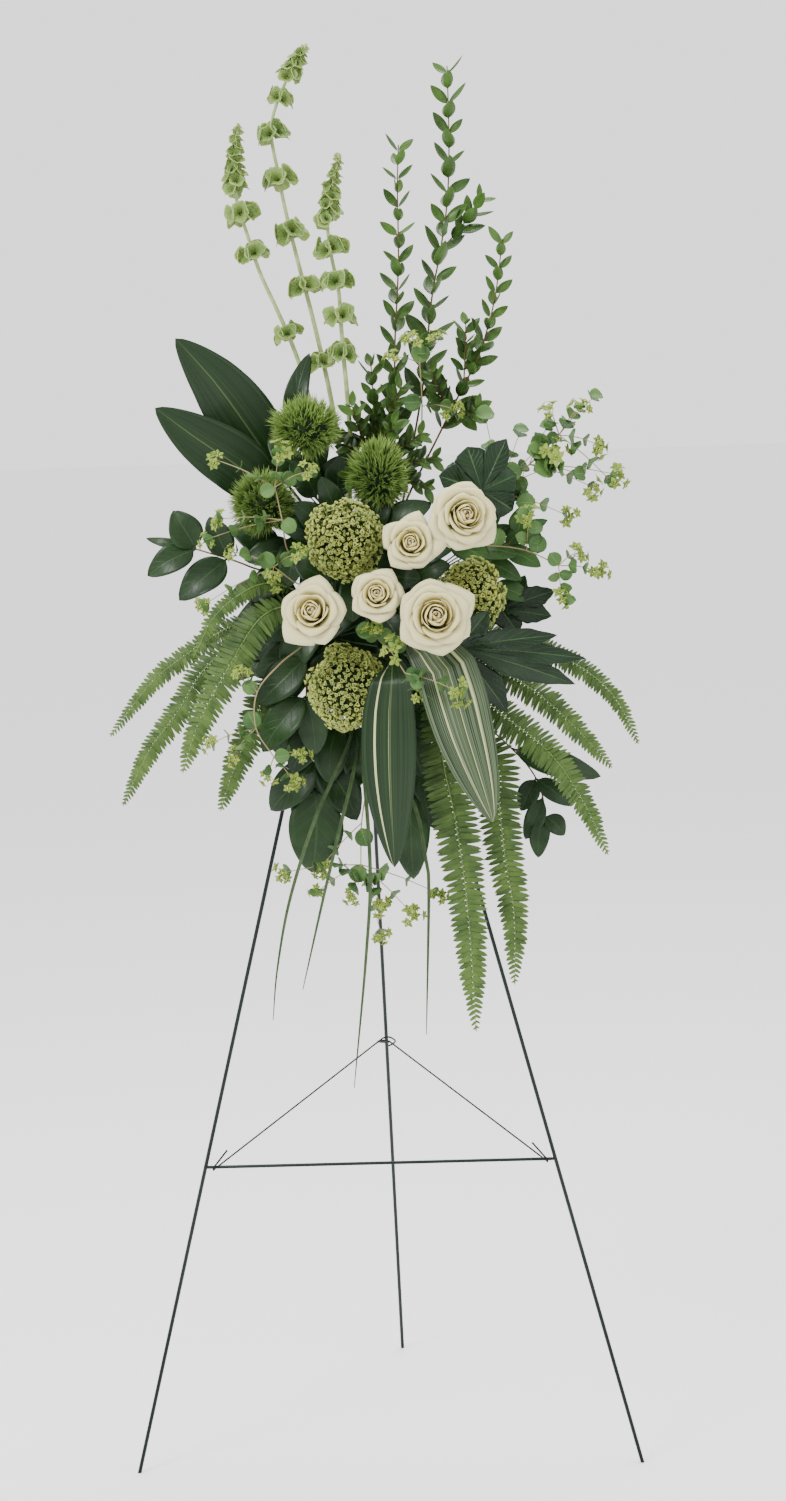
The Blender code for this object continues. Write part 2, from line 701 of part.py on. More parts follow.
def tipped_twig(start, end, face, radius, rays):
    """A thin twig that ends in a star of bracts or, with rays of 0, in a round leaf."""
    normal = (face.normalized() + (end - start).normalized() * 0.7).normalized()
    back = end - normal * STAR_HALF
    first = any_normal(back - start)
    points = []
    for place, travel in ((start, back - start), (back, normal)):
        travel = travel.normalized()
        first = (first - travel * first.dot(travel)).normalized()
        second = travel.cross(first)
        for corner in range(3):
            turn = math.tau * corner / 3
            points.append(place + (first * math.cos(turn) + second * math.sin(turn)) * TWIG_RADIUS)
    faces = [(2, 1, 0), (0, 1, 4, 3), (1, 2, 5, 4), (2, 0, 3, 5)]
    count = 2 * rays or 7
    rim = len(points)
    for number in range(count):
        turn = math.tau * number / count
        notch = rays > 0 and number % 2 == 1
        out = (first * math.cos(turn) + second * math.sin(turn)) * (radius * (0.45 if notch else 1))
        points.append(end + out + normal * (radius * (0.05 if notch else 0.25)))
    points.append(end + normal * STAR_HALF)
    for number in range(count):
        other = (number + 1) % count
        near, near_other = 3 + number * 3 // count, 3 + other * 3 // count
        faces.append((rim + number, rim + other, rim + count))
        faces.append((rim + other, rim + number, near))
        if near != near_other:
            faces.append((near, near_other, rim + other))
    return points, faces


def bupleurum(name, finish, place, trunk, branches, seed):
    """A branched stem with a star at the end of each branch and round leaves among them.

    Each branch is the number of the trunk point that it starts from, its end, and its flower's radius, or a
    round leaf's radius below zero."""
    draw = random.Random(seed)
    knots = seen_route(trunk)
    line = stem_line(place, TRUNK_RADIUS, knots, 3 + len(trunk))
    pieces = [rod(line, TRUNK_RADIUS, TWIG_RADIUS, 3)]
    for number, end, radius in branches:
        start = min(line, key=lambda point: (point - knots[number]).length)
        face = Vector((draw.uniform(-0.5, 0.5), -1, draw.uniform(0.1, 0.7)))
        pieces.append(tipped_twig(start, seen(*end), face, abs(radius), 5 if radius > 0 else 0))
    return plant(name, finish, pieces)


# Leaves

def leafy_twig(line, stations, start_radius, end_radius, leaf_length, seed):
    """A four-sided twig along a line with a pair of pointed leaves at each station, each pair across the last.

    stations are shares of the line's length. A leaf grows out of the twig's own side, so that both are one
    surface."""
    draw = random.Random(seed)
    travel = directions(line)
    total = len(line) - 1
    lengths = total / sum((second - first).length for first, second in zip(line, line[1:]))
    half = 0.0010 * lengths
    bare = [float(step) for step in range(total) if step < stations[0] * total - 0.5]
    places = list(bare)
    for station in stations:
        places += [station * total - half, station * total + half]
    places.append(float(total))
    points = []
    faces = [(3, 2, 1, 0)]
    normal = (any_normal(travel[0]) + travel[0].cross(any_normal(travel[0]))).normalized()
    frames = []
    for place in places:
        step = min(int(place), total - 1)
        along = travel[step].lerp(travel[step + 1], place - step).normalized()
        normal = (normal - along * normal.dot(along)).normalized()
        other = along.cross(normal)
        centre = line[step].lerp(line[step + 1], place - step)
        radius = start_radius + (end_radius - start_radius) * place / total
        frames.append((centre, along, normal, other))
        for corner in range(4):
            turn = math.tau * (corner + 0.5) / 4
            points.append(centre + (normal * math.cos(turn) + other * math.sin(turn)) * radius)
    last = len(points) - 4
    faces.append((last, last + 1, last + 2, last + 3))
    for ring in range(len(places) - 1):
        centre, along, normal, other = frames[ring]
        pair = ring >= len(bare) and (ring - len(bare)) % 2 == 0 and ring < len(places) - 2
        turned = (ring - len(bare)) // 2 % 2
        for corner in range(4):
            low, low_next = 4 * ring + corner, 4 * ring + (corner + 1) % 4
            high, high_next = low + 4, low_next + 4
            if not pair or corner % 2 != turned:
                faces.append((low, low_next, high_next, high))
                continue
            turn = math.tau * (corner + 1) / 4
            out = normal * math.cos(turn) + other * math.sin(turn)
            size = leaf_length * (1.05 - 0.4 * ring / len(places)) * draw.uniform(0.85, 1.1)
            direction = (out + along * draw.uniform(0.8, 1.3)).normalized()
            side = along.cross(out)
            face = direction.cross(side).normalized()
            if face.dot(along) < 0:
                face = -face
            middle = centre + direction * (0.45 * size)
            spots = [middle + face * 0.0005, middle + side * (0.22 * size) + face * (0.04 * size),
                     middle - face * 0.0005, middle - side * (0.22 * size) + face * (0.04 * size),
                     centre + direction * size - face * (0.08 * size)]
            top = len(points)
            points += spots
            right, under, left, tip = top + 1, top + 2, top + 3, top + 4
            faces += [(high_next, high, top), (high_next, top, right), (low_next, high_next, right),
                      (low_next, right, under), (low, low_next, under), (low, under, left), (high, low, left),
                      (high, left, top), (top, tip, right), (right, tip, under), (under, tip, left),
                      (left, tip, top)]
    return points, faces


def myrtle(name, finish, place, trunk, leaf_range, pairs, leaf_length, seed, twigs=()):
    """A woody stem with pairs of leaves, and side twigs that start and end at the given points."""
    line = stem_line(place, MYRTLE_RADIUS, seen_route(trunk), 12)
    low, high = leaf_range
    stations = [low + (high - low) * number / (pairs - 1) for number in range(pairs)]
    pieces = [leafy_twig(line, stations, MYRTLE_RADIUS, MYRTLE_TIP_RADIUS, leaf_length, seed)]
    for start, end, count in twigs:
        root = min(line, key=lambda point: (point - seen(*start)).length)
        twig = smooth([root, root.lerp(seen(*end), 0.5) + UP * -0.004, seen(*end)], 5)
        stations = [0.3 + 0.65 * number / (count - 1) for number in range(count)]
        pieces.append(leafy_twig(twig, stations, BRANCH_TIP_RADIUS, MYRTLE_TIP_RADIUS, leaf_length * 0.8, seed + 1))
    return plant(name, finish, pieces)


def broad_leaf(base, tip, face, width, rows):
    """An oval leaf from base to tip, arched by a tenth of its length."""
    length = (tip - base).length
    along, side, normal = leaf_frame(tip - base, face)
    points = []
    halves = []
    for number in range(rows):
        share = number / (rows - 1)
        points.append(base.lerp(tip, share) + normal * (0.1 * length * math.sin(math.pi * share)))
        halves.append(width / 2 * swelling(share, 0.75, 0.85))
    return long_blade(points, halves, face, thickness=BROAD_LEAF_THICKNESS)


def leafy_branch(name, finish, place, trunk, leaves, rows=5):
    """A stem with broad leaves; each leaf is the number of its trunk point, its tip, its width and the way it faces.
    """
    knots = seen_route(trunk)
    line = stem_line(place, BRANCH_RADIUS, knots, 3 + 2 * len(trunk))
    pieces = [rod(line, BRANCH_RADIUS, BRANCH_TIP_RADIUS, 4)]
    for number, tip, width, face in leaves:
        step = min(range(1, len(line)), key=lambda spot: (line[spot] - knots[number]).length)
        start = line[step].lerp(line[step - 1], 0.12)
        pieces.append(broad_leaf(start, seen(*tip), Vector(face), width, rows))
    return plant(name, finish, pieces)


def strap_leaf(name, finish, place, points, width, face):
    """An aspidistra leaf: a stalk from the foam that widens into a long blade."""
    rows = 11
    stalk_share = 0.30
    stalk = STRAP_STALK_RADIUS * 0.8
    line = stem_line(place, STRAP_STALK_RADIUS, seen_route(points), rows)
    halves = []
    for number in range(rows):
        share = number / (rows - 1)
        if share <= stalk_share:
            halves.append(stalk)
        else:
            halves.append(max(stalk, width / 2 * swelling((share - stalk_share) / (1 - stalk_share), 0.7, 0.8)))
    piece = long_blade(line, halves, Vector(face), cup=0.12, columns=4, thickness=STRAP_THICKNESS)
    return plant(name, finish, [piece])


def frond(name, finish, place, points, leaflets, width, face, stalk_rows=4):
    """A sword fern frond in one blade: a rib with a row of leaflets on each side, cut in to the rib."""
    rib = FERN_RIB_RADIUS
    line = stem_line(place, rib, seen_route(points), stalk_rows + leaflets + 1)
    travel = directions(line)
    blade = Blade()
    backs, lefts, rights = [], [], []
    last = len(line) - 1
    for number, (point, direction) in enumerate(zip(line, travel)):
        along, side, normal = leaf_frame(direction, Vector(face))
        if number in (0, last):
            end = blade.rim(point)
            backs.append(end)
            lefts.append(end)
            rights.append(end)
        else:
            backs.append(blade.inside(point, normal * rib))
            lefts.append(blade.rim(point - side * rib))
            rights.append(blade.rim(point + side * rib))
    for number in range(last):
        grown = number - stalk_rows
        if grown < 0 or number == last - 1:
            blade.quad(lefts[number], backs[number], backs[number + 1], lefts[number + 1])
            blade.quad(backs[number], rights[number], rights[number + 1], backs[number + 1])
            continue
        share = (grown + 0.5) / leaflets
        reach = width / 2 * min(1.0, 0.55 + 2.2 * share) * (1 - share ** 2.4) ** 0.8 + 0.003
        pitch = (line[number + 1] - line[number]).length
        along, side, normal = leaf_frame(travel[number], Vector(face))
        middle = line[number].lerp(line[number + 1], 0.5)

        back, ahead = backs[number], backs[number + 1]
        for sign, low, high in ((-1, lefts[number], lefts[number + 1]), (1, rights[number], rights[number + 1])):
            tip = blade.rim(middle + side * (reach * sign) + along * (pitch * 0.35) - normal * (0.16 * reach))
            ring = [low, tip, high, ahead]
            if sign < 0:
                ring.reverse()
            for first, second in zip(ring, ring[1:]):
                blade.triangle(back, first, second)
    return plant(name, finish, [blade.piece()])


def palmate(centre, tips, face, lobe_width, sinus):
    """A hand-shaped leaf: a lobe from the centre to each tip, in order round the leaf, with deep cuts between.

    No lobe is wider than half the way to its neighbours, so that two lobes never cross. Where the lobes leave
    more than half a turn free, the cut is behind the centre."""
    blade = Blade()
    normal = Vector(face).normalized()
    lift = normal * (LEAF_THICKNESS / 2)
    half = lobe_width / 2
    heart = blade.inside(centre, lift)
    outs = [tip - centre for tip in tips]
    turns = [first.cross(second).dot(normal) for first, second in zip(outs, outs[1:] + outs[:1])]
    way = math.copysign(1, sum(math.copysign(1, turn) for turn in turns))
    notches = []
    for first, second, turn in zip(outs, outs[1:] + outs[:1], turns):
        between = (first.normalized() + second.normalized()).normalized() * math.copysign(1, turn * way)
        notches.append(blade.rim(centre + between * (sinus * min(first.length, second.length))))
    low = sinus + 0.25 * (1 - sinus)
    high = sinus + 0.69 * (1 - sinus)
    for number, out in enumerate(outs):
        side = out.cross(normal).normalized()
        middle = blade.inside(centre + out * ((low + high) / 2 - 0.10), lift)
        room = {}
        for other, turn in ((outs[number - 1], turns[number - 1]), (outs[(number + 1) % len(outs)], turns[number])):
            if turn * way > 0:
                room[math.copysign(1, other.dot(side))] = math.tan(out.angle(other) / 2) * out.length * 0.9
        wide = [blade.rim(centre + out * share + side * (sign * min(half * size, share * room.get(sign, half)))
                          + normal * (half * 0.12))
                for share, size, sign in ((low, 0.95, 1), (high, 0.70, 1), (high, 0.70, -1), (low, 0.95, -1))]
        end = blade.rim(tips[number])
        before, after = notches[number - 1], notches[number]
        ring = [heart, before, wide[0], wide[1], end, wide[2], wide[3], after]
        forward = (blade.points[before[0]] - centre).dot(side) > (blade.points[after[0]] - centre).dot(side)
        if not forward:
            ring = [heart, before, wide[3], wide[2], end, wide[1], wide[0], after]
        blade.fan(middle, ring)
    return blade.piece()


def palmate_leaf(name, finish, place, trunk, centre, tips, face, lobe_width, sinus=0.36):
    middle = seen(*centre)
    line = stem_line(place, HAND_STALK_RADIUS, seen_route(trunk) + [middle], 6)
    leaf = palmate(middle, [seen(*tip) for tip in tips], face, lobe_width, sinus)
    return plant(name, finish, [rod(line, HAND_STALK_RADIUS, HAND_STALK_RADIUS * 0.8, 4), leaf])


def grass_tuft(name, finish, place, blades):
    """Blades of bear grass from one root."""
    holder = socket(*place, GRASS_ROOT_RADIUS)
    pieces = [rod(holder, GRASS_ROOT_RADIUS, GRASS_ROOT_RADIUS * 0.8, 5)]
    root = holder[1] - (holder[1] - holder[0]).normalized() * 0.004
    for points in blades:
        line = smooth([root] + seen_route(points), 9)
        halves = [0.0016, 0.0020, 0.0022, 0.0022, 0.0021, 0.0020, 0.0017, 0.0012, 0.0004]
        pieces.append(long_blade(line, halves, (0.2, -1, 0.1), 0.2))
    return plant(name, finish, pieces)


def make_bells(green):
    bells("bells_of_ireland_left", green,
          ("top", 1, 3),
          ((-0.051, 1.313, -0.075), (-0.071, 1.383, -0.085), (-0.103, 1.461, -0.100), (-0.122, 1.532, -0.105),
           (-0.129, 1.563, -0.105), (-0.120, 1.632, -0.105)),
          ((0.515, 0.80), (0.705, 1.0), (0.795, 1.0)), (0.845, 0.985, 9), 11)
    bells("bells_of_ireland_middle", green,
          ("top", 2, 3),
          ((-0.024, 1.308, -0.060), (-0.046, 1.423, -0.065), (-0.063, 1.499, -0.070), (-0.076, 1.575, -0.072),
           (-0.081, 1.631, -0.075), (-0.066, 1.670, -0.078), (-0.036, 1.720, -0.080)),
          ((0.385, 0.9), (0.525, 1.0), (0.63, 1.1), (0.73, 1.0), (0.815, 0.95), (0.885, 0.8)), (0.925, 0.985, 6), 12)
    bells("bells_of_ireland_right", green,
          ("top", 2, 2),
          ((-0.003, 1.240, -0.085), (-0.004, 1.301, -0.110), (-0.008, 1.376, -0.120), (-0.010, 1.436, -0.125),
           (-0.020, 1.510, -0.130), (-0.003, 1.592, -0.130)),
          ((0.505, 0.9), (0.60, 0.95), (0.685, 1.0), (0.765, 1.0)), (0.825, 0.985, 9), 13)


def make_myrtle(green):
    myrtle("myrtle_branch_tall", green, ("top", 5, 3),
           ((0.085, 1.315, -0.060), (0.099, 1.416, -0.060), (0.119, 1.511, -0.060), (0.126, 1.589, -0.060),
            (0.127, 1.688, -0.060)), (0.36, 0.98), 15, 0.030, 21,
           (((0.119, 1.500, -0.060), (0.162, 1.535, -0.065), 3),))
    myrtle("myrtle_branch_middle", green, ("top", 4, 3),
           ((0.049, 1.282, -0.085), (0.055, 1.378, -0.088), (0.062, 1.463, -0.090), (0.064, 1.552, -0.090),
            (0.067, 1.600, -0.090)), (0.30, 0.98), 13, 0.028, 22)
    myrtle("myrtle_branch_right", green, ("top", 5, 2),
           ((0.100, 1.255, -0.095), (0.133, 1.315, -0.105), (0.155, 1.355, -0.110), (0.168, 1.396, -0.115),
            (0.177, 1.431, -0.115), (0.185, 1.487, -0.115)), (0.42, 0.98), 9, 0.031, 23,
           (((0.133, 1.320, -0.105), (0.139, 1.392, -0.125), 3),))
    myrtle("myrtle_branch_short", green, ("top", 3, 3),
           ((0.022, 1.250, -0.085), (0.026, 1.290, -0.100), (0.025, 1.350, -0.098)), (0.55, 0.97), 5, 0.034, 24)


def make_heads(moss, olive):
    heads = (
        ("dianthus_ball_left", moss, ("top", 1, 2), (-0.061, 1.282, -0.165), (0.040, 0.030, 0.026), (-0.2, -0.6, 1),
         "needles", MOSS_STEM_RADIUS, 31),
        ("dianthus_ball_middle", moss, ("top", 3, 2), (0.035, 1.227, -0.155), (0.032, 0.032, 0.042), (0, -0.8, 1),
         "needles", MOSS_STEM_RADIUS, 32),
        ("dianthus_ball_low", moss, ("front", 0, 0), (-0.111, 1.195, -0.160), (0.034, 0.030, 0.032), (-0.7, -1, 0.6),
         "needles", MOSS_STEM_RADIUS, 33),
        ("hydrangea_head_top", olive, ("front", 2, 1), (-0.015, 1.137, -0.210), (0.041, 0.034, 0.043), (0, -1, 0.3),
         "florets", FLORET_STEM_RADIUS, 34),
        ("hydrangea_head_bottom", olive, ("front", 2, 7), (-0.017, 0.963, -0.200), (0.045, 0.036, 0.048),
         (0, -1, -0.1), "florets", FLORET_STEM_RADIUS, 35),
        ("hydrangea_head_right", olive, ("front", 5, 3), (0.133, 1.068, -0.190), (0.036, 0.030, 0.040),
         (0.3, -1, 0.1), "florets", FLORET_STEM_RADIUS, 36),
    )
    for name, finish, place, centre, radii, facing, kind, stem_radius, seed in heads:
        head_on_stem(name, finish, place, centre, radii, facing, kind, stem_radius, seed)


def make_roses(white):
    roses = (
        ("rose_upper_right", ("front", 5, 1), (0.129, 1.163, -0.245), (0.25, -1, 0.05), 0.038, 41),
        ("rose_upper_middle", ("front", 4, 1), (0.065, 1.132, -0.255), (0.05, -1, 0.15), 0.028, 42),
        ("rose_left", ("front", 1, 4), (-0.056, 1.054, -0.265), (-0.15, -1, 0.25), 0.035, 43),
        ("rose_middle", ("front", 3, 3), (0.022, 1.072, -0.270), (0.0, -1, 0.30), 0.027, 44),
        ("rose_lower_right", ("front", 4, 4), (0.091, 1.044, -0.285), (0.10, -1, 0.10), 0.040, 45),
    )
    for name, place, centre, facing, radius, seed in roses:
        rose(name, white, place, centre, facing, radius, seed)


def make_straps(green):
    strap_leaf("aspidistra_leaf_upper", green, ("top", 0, 3),
               ((-0.075, 1.200, -0.065), (-0.120, 1.270, -0.090), (-0.160, 1.330, -0.110), (-0.206, 1.385, -0.120)),
               0.078, (-0.1, -1, 0.5))
    strap_leaf("aspidistra_leaf_left", green, ("top", 0, 2),
               ((-0.085, 1.180, -0.090), (-0.130, 1.225, -0.115), (-0.185, 1.265, -0.130), (-0.234, 1.304, -0.140)),
               0.072, (-0.1, -1, 0.5))
    strap_leaf("aspidistra_leaf_low_left", green, ("front", 3, 7),
               ((0.040, 0.990, -0.215), (0.034, 0.955, -0.240), (0.030, 0.850, -0.238), (0.031, 0.740, -0.220)),
               0.066, (-0.2, -1, 0.1))
    strap_leaf("aspidistra_leaf_low_right", green, ("front", 4, 6),
               ((0.078, 1.006, -0.232), (0.098, 0.984, -0.256), (0.120, 0.900, -0.262), (0.152, 0.792, -0.245)),
               0.078, (0.35, -1, 0.3))


def make_hands(dark):
    palmate_leaf("aralia_leaf_large", dark, ("front", 5, 5), ((0.095, 1.022, -0.190),), (0.118, 1.006, -0.217),
                 ((0.154, 1.048, -0.246), (0.236, 1.018, -0.222), (0.271, 0.989, -0.205), (0.258, 0.958, -0.200),
                  (0.175, 0.925, -0.215), (0.110, 0.930, -0.220), (0.058, 0.944, -0.218), (0.066, 0.990, -0.215)),
                 (0.15, -1, 0.35), 0.034)
    palmate_leaf("aralia_leaf_small", dark, ("right", 4, 2), ((0.110, 1.052, -0.120), (0.150, 1.050, -0.140)),
                 (0.170, 1.050, -0.145),
                 ((0.200, 1.090, -0.140), (0.235, 1.071, -0.145), (0.230, 1.040, -0.150), (0.190, 1.020, -0.155)),
                 (0.1, -1, 0.3), 0.026)
    palmate_leaf("ivy_leaf", dark, ("front", 5, 0), ((0.085, 1.150, -0.165),), (0.152, 1.192, -0.175),
                 ((0.101, 1.212, -0.180), (0.136, 1.245, -0.172), (0.183, 1.253, -0.168), (0.193, 1.210, -0.170),
                  (0.188, 1.168, -0.175), (0.150, 1.150, -0.180)),
                 (0.1, -1, 0.25), 0.040, sinus=0.72)


def make_ferns(green):
    fronds = (
        ("fern_frond_left_long", ("left", 4, 3),
         ((-0.100, 1.055, -0.085), (-0.157, 1.039, -0.110), (-0.205, 1.011, -0.120), (-0.253, 0.976, -0.125),
          (-0.306, 0.913, -0.130)), 14, 0.027, (-0.1, -1, 0.5)),
        ("fern_frond_left_low", ("left", 5, 2),
         ((-0.110, 1.040, -0.115), (-0.182, 0.997, -0.145), (-0.225, 0.937, -0.155), (-0.261, 0.892, -0.160),
          (-0.295, 0.828, -0.160)), 14, 0.035, (-0.1, -1, 0.4)),
        ("fern_frond_left_front", ("front", 0, 5),
         ((-0.078, 1.062, -0.175), (-0.118, 1.050, -0.200), (-0.160, 0.991, -0.205), (-0.199, 0.924, -0.205),
          (-0.221, 0.866, -0.200)), 16, 0.046, (-0.1, -1, 0.4)),
        ("fern_frond_left_short", ("left", 6, 2),
         ((-0.085, 1.000, -0.130), (-0.115, 0.960, -0.160), (-0.132, 0.922, -0.165), (-0.158, 0.869, -0.165),
          (-0.177, 0.818, -0.160)), 12, 0.042, (-0.1, -1, 0.3)),
        ("fern_frond_left_small", ("front", 0, 4),
         ((-0.080, 1.083, -0.158), (-0.120, 1.089, -0.175), (-0.171, 1.056, -0.180), (-0.201, 1.006, -0.180)),
         11, 0.022, (-0.1, -1, 0.5)),
        ("fern_frond_right_far", ("right", 4, 3),
         ((0.130, 1.035, -0.090), (0.200, 1.010, -0.115), (0.266, 0.975, -0.125), (0.305, 0.936, -0.130),
          (0.329, 0.884, -0.130)), 12, 0.029, (0.1, -1, 0.5)),
        ("fern_frond_right_middle", ("right", 5, 2),
         ((0.120, 1.005, -0.120), (0.203, 0.953, -0.150), (0.253, 0.906, -0.158), (0.296, 0.856, -0.160)),
         13, 0.038, (0.1, -1, 0.5)),
        ("fern_frond_right_low", ("right", 6, 2),
         ((0.105, 0.985, -0.145), (0.151, 0.937, -0.182), (0.221, 0.876, -0.192), (0.261, 0.815, -0.195),
          (0.289, 0.750, -0.195)), 16, 0.043, (0.1, -1, 0.4)),
        ("fern_frond_hanging_left", ("front", 5, 7),
         ((0.082, 0.955, -0.175), (0.096, 0.855, -0.185), (0.104, 0.812, -0.185), (0.114, 0.731, -0.180),
          (0.120, 0.643, -0.172), (0.123, 0.536, -0.165)), 20, 0.054, (0.0, -1, 0.2)),
        ("fern_frond_hanging_right", ("front", 5, 8),
         ((0.110, 0.930, -0.145), (0.157, 0.867, -0.148), (0.160, 0.811, -0.150), (0.165, 0.748, -0.148),
          (0.174, 0.676, -0.145), (0.172, 0.593, -0.140)), 18, 0.050, (0.0, -1, 0.2)),
    )
    for name, place, points, leaflets, width, face in fronds:
        frond(name, green, place, points, leaflets, width, face)


def make_salal(green, fresh):
    forward = (0, -1, 0.4)
    leafy_branch("salal_left", green, ("left", 2, 2),
                 ((-0.110, 1.105, -0.085), (-0.150, 1.120, -0.110), (-0.195, 1.135, -0.120)),
                 ((2, (-0.218, 1.181, -0.125), 0.042, forward), (2, (-0.253, 1.105, -0.130), 0.036, forward),
                  (1, (-0.216, 1.075, -0.135), 0.044, forward), (1, (-0.175, 1.172, -0.112), 0.036, forward),
                  (2, (-0.252, 1.150, -0.115), 0.014, forward)), rows=4)
    leafy_branch("salal_centre", green, ("front", 1, 6),
                 ((-0.050, 1.027, -0.160), (-0.064, 1.004, -0.170), (-0.068, 0.952, -0.174)),
                 ((1, (-0.126, 0.944, -0.184), 0.045, forward), (2, (-0.124, 0.887, -0.182), 0.045, forward),
                  (2, (-0.060, 0.880, -0.165), 0.038, forward), (0, (-0.006, 1.048, -0.172), 0.036, forward)))
    leafy_branch("salal_bottom_left", green, ("bottom", 1, 3),
                 ((-0.040, 0.900, -0.105), (-0.060, 0.870, -0.118), (-0.062, 0.840, -0.120)),
                 ((2, (-0.070, 0.736, -0.118), 0.070, forward), (1, (-0.012, 0.800, -0.128), 0.050, forward),
                  (1, (-0.118, 0.815, -0.112), 0.050, forward), (0, (-0.112, 0.890, -0.100), 0.045, forward)))
    leafy_branch("salal_bottom_right", green, ("bottom", 4, 3),
                 ((0.040, 0.895, -0.100), (0.055, 0.850, -0.112)),
                 ((1, (0.053, 0.724, -0.112), 0.050, forward), (1, (0.105, 0.780, -0.105), 0.042, forward),
                  (0, (0.095, 0.860, -0.095), 0.040, forward)))
    leafy_branch("salal_right", green, ("right", 7, 3),
                 ((0.120, 0.940, -0.092), (0.185, 0.873, -0.110), (0.205, 0.845, -0.112), (0.214, 0.815, -0.112),
                  (0.214, 0.795, -0.112)),
                 ((2, (0.186, 0.805, -0.118), 0.028, forward), (2, (0.248, 0.810, -0.115), 0.026, forward),
                  (3, (0.190, 0.770, -0.108), 0.026, forward), (4, (0.205, 0.747, -0.115), 0.026, forward),
                  (4, (0.238, 0.774, -0.112), 0.026, forward), (1, (0.284, 0.845, -0.105), 0.036, forward)),
                 rows=4)
    leafy_branch("ruscus_leaf_behind", green, ("top", 1, 1),
                 ((-0.060, 1.210, -0.110), (-0.070, 1.260, -0.115)),
                 ((1, (-0.048, 1.362, -0.108), 0.030, forward),), rows=4)
    leafy_branch("light_leaves_right", fresh, ("right", 3, 2),
                 ((0.120, 1.095, -0.120), (0.170, 1.120, -0.145), (0.195, 1.140, -0.150)),
                 ((2, (0.200, 1.172, -0.155), 0.028, forward), (2, (0.222, 1.132, -0.150), 0.026, forward),
                  (1, (0.219, 1.100, -0.155), 0.026, forward), (0, (0.180, 1.092, -0.130), 0.026, forward)), rows=4)


def make_bupleurum(lime):
    bupleurum("bupleurum_top", lime, ("top", 4, 2),
              ((0.078, 1.250, -0.095), (0.084, 1.300, -0.125), (0.083, 1.345, -0.135)),
              ((2, (0.075, 1.375, -0.135), 0.013), (2, (0.104, 1.375, -0.130), 0.012),
               (1, (0.121, 1.290, -0.140), 0.012), (2, (0.050, 1.353, -0.140), 0.010)), 51)
    bupleurum("bupleurum_right_high", lime, ("right", 2, 2),
              ((0.130, 1.150, -0.110), (0.190, 1.205, -0.135), (0.225, 1.235, -0.140), (0.245, 1.255, -0.140)),
              ((3, (0.271, 1.287, -0.140), 0.012), (3, (0.235, 1.285, -0.135), 0.012),
               (2, (0.239, 1.237, -0.150), 0.016), (3, (0.294, 1.240, -0.140), 0.013),
               (2, (0.285, 1.191, -0.145), 0.013), (2, (0.316, 1.205, -0.140), 0.013),
               (1, (0.255, 1.158, -0.150), 0.012), (1, (0.200, 1.262, -0.130), -0.009),
               (3, (0.290, 1.300, -0.130), -0.009)), 52)
    bupleurum("bupleurum_right_low", lime, ("front", 5, 2),
              ((0.090, 1.124, -0.160), (0.165, 1.126, -0.170), (0.215, 1.115, -0.188), (0.240, 1.100, -0.190)),
              ((2, (0.207, 1.161, -0.200), 0.013), (3, (0.266, 1.115, -0.190), 0.012),
               (3, (0.290, 1.090, -0.190), 0.012), (3, (0.242, 1.060, -0.190), 0.012)), 53)
    bupleurum("bupleurum_left_high", lime, ("front", 0, 2),
              ((-0.080, 1.120, -0.185), (-0.088, 1.165, -0.215), (-0.095, 1.205, -0.222)),
              ((2, (-0.169, 1.242, -0.190), 0.012), (2, (-0.088, 1.248, -0.222), 0.014),
               (2, (-0.052, 1.223, -0.235), 0.012), (1, (-0.167, 1.169, -0.215), 0.011),
               (1, (-0.181, 1.145, -0.190), 0.010)), 54)
    bupleurum("bupleurum_left_low", lime, ("front", 0, 3),
              ((-0.075, 1.090, -0.200), (-0.100, 1.110, -0.220)),
              ((1, (-0.068, 1.125, -0.240), 0.011), (1, (-0.103, 1.094, -0.235), 0.011),
               (1, (-0.150, 1.130, -0.205), 0.010), (1, (-0.190, 1.065, -0.215), 0.010)), 55)
    bupleurum("bupleurum_centre", lime, ("front", 3, 5),
              ((0.020, 1.020, -0.200), (0.032, 1.010, -0.240), (0.052, 0.977, -0.279)),
              ((0, (0.015, 1.030, -0.245), 0.012), (1, (0.042, 1.007, -0.268), 0.014),
               (2, (0.072, 0.947, -0.262), 0.010), (2, (0.119, 0.950, -0.290), 0.013)), 56)
    bupleurum("bupleurum_low_left", lime, ("front", 0, 6),
              ((-0.095, 0.995, -0.205), (-0.125, 0.965, -0.222), (-0.130, 0.915, -0.222), (-0.110, 0.880, -0.210)),
              ((1, (-0.145, 0.985, -0.225), 0.011), (2, (-0.187, 0.898, -0.225), 0.011),
               (2, (-0.160, 0.882, -0.215), 0.011), (3, (-0.076, 0.884, -0.205), 0.011),
               (3, (-0.085, 0.844, -0.200), 0.012), (3, (-0.118, 0.855, -0.205), 0.010)), 57)
    bupleurum("bupleurum_bottom", lime, ("bottom", 3, 2),
              ((0.004, 0.860, -0.130), (-0.008, 0.790, -0.145), (-0.010, 0.745, -0.148)),
              ((1, (-0.060, 0.741, -0.150), 0.012), (2, (-0.105, 0.738, -0.150), 0.011),
               (2, (-0.066, 0.712, -0.150), 0.010), (2, (-0.022, 0.705, -0.150), 0.011),
               (2, (0.014, 0.692, -0.150), 0.012), (2, (0.012, 0.656, -0.150), 0.011),
               (2, (0.052, 0.680, -0.150), 0.013), (2, (0.084, 0.706, -0.145), 0.011)), 58)


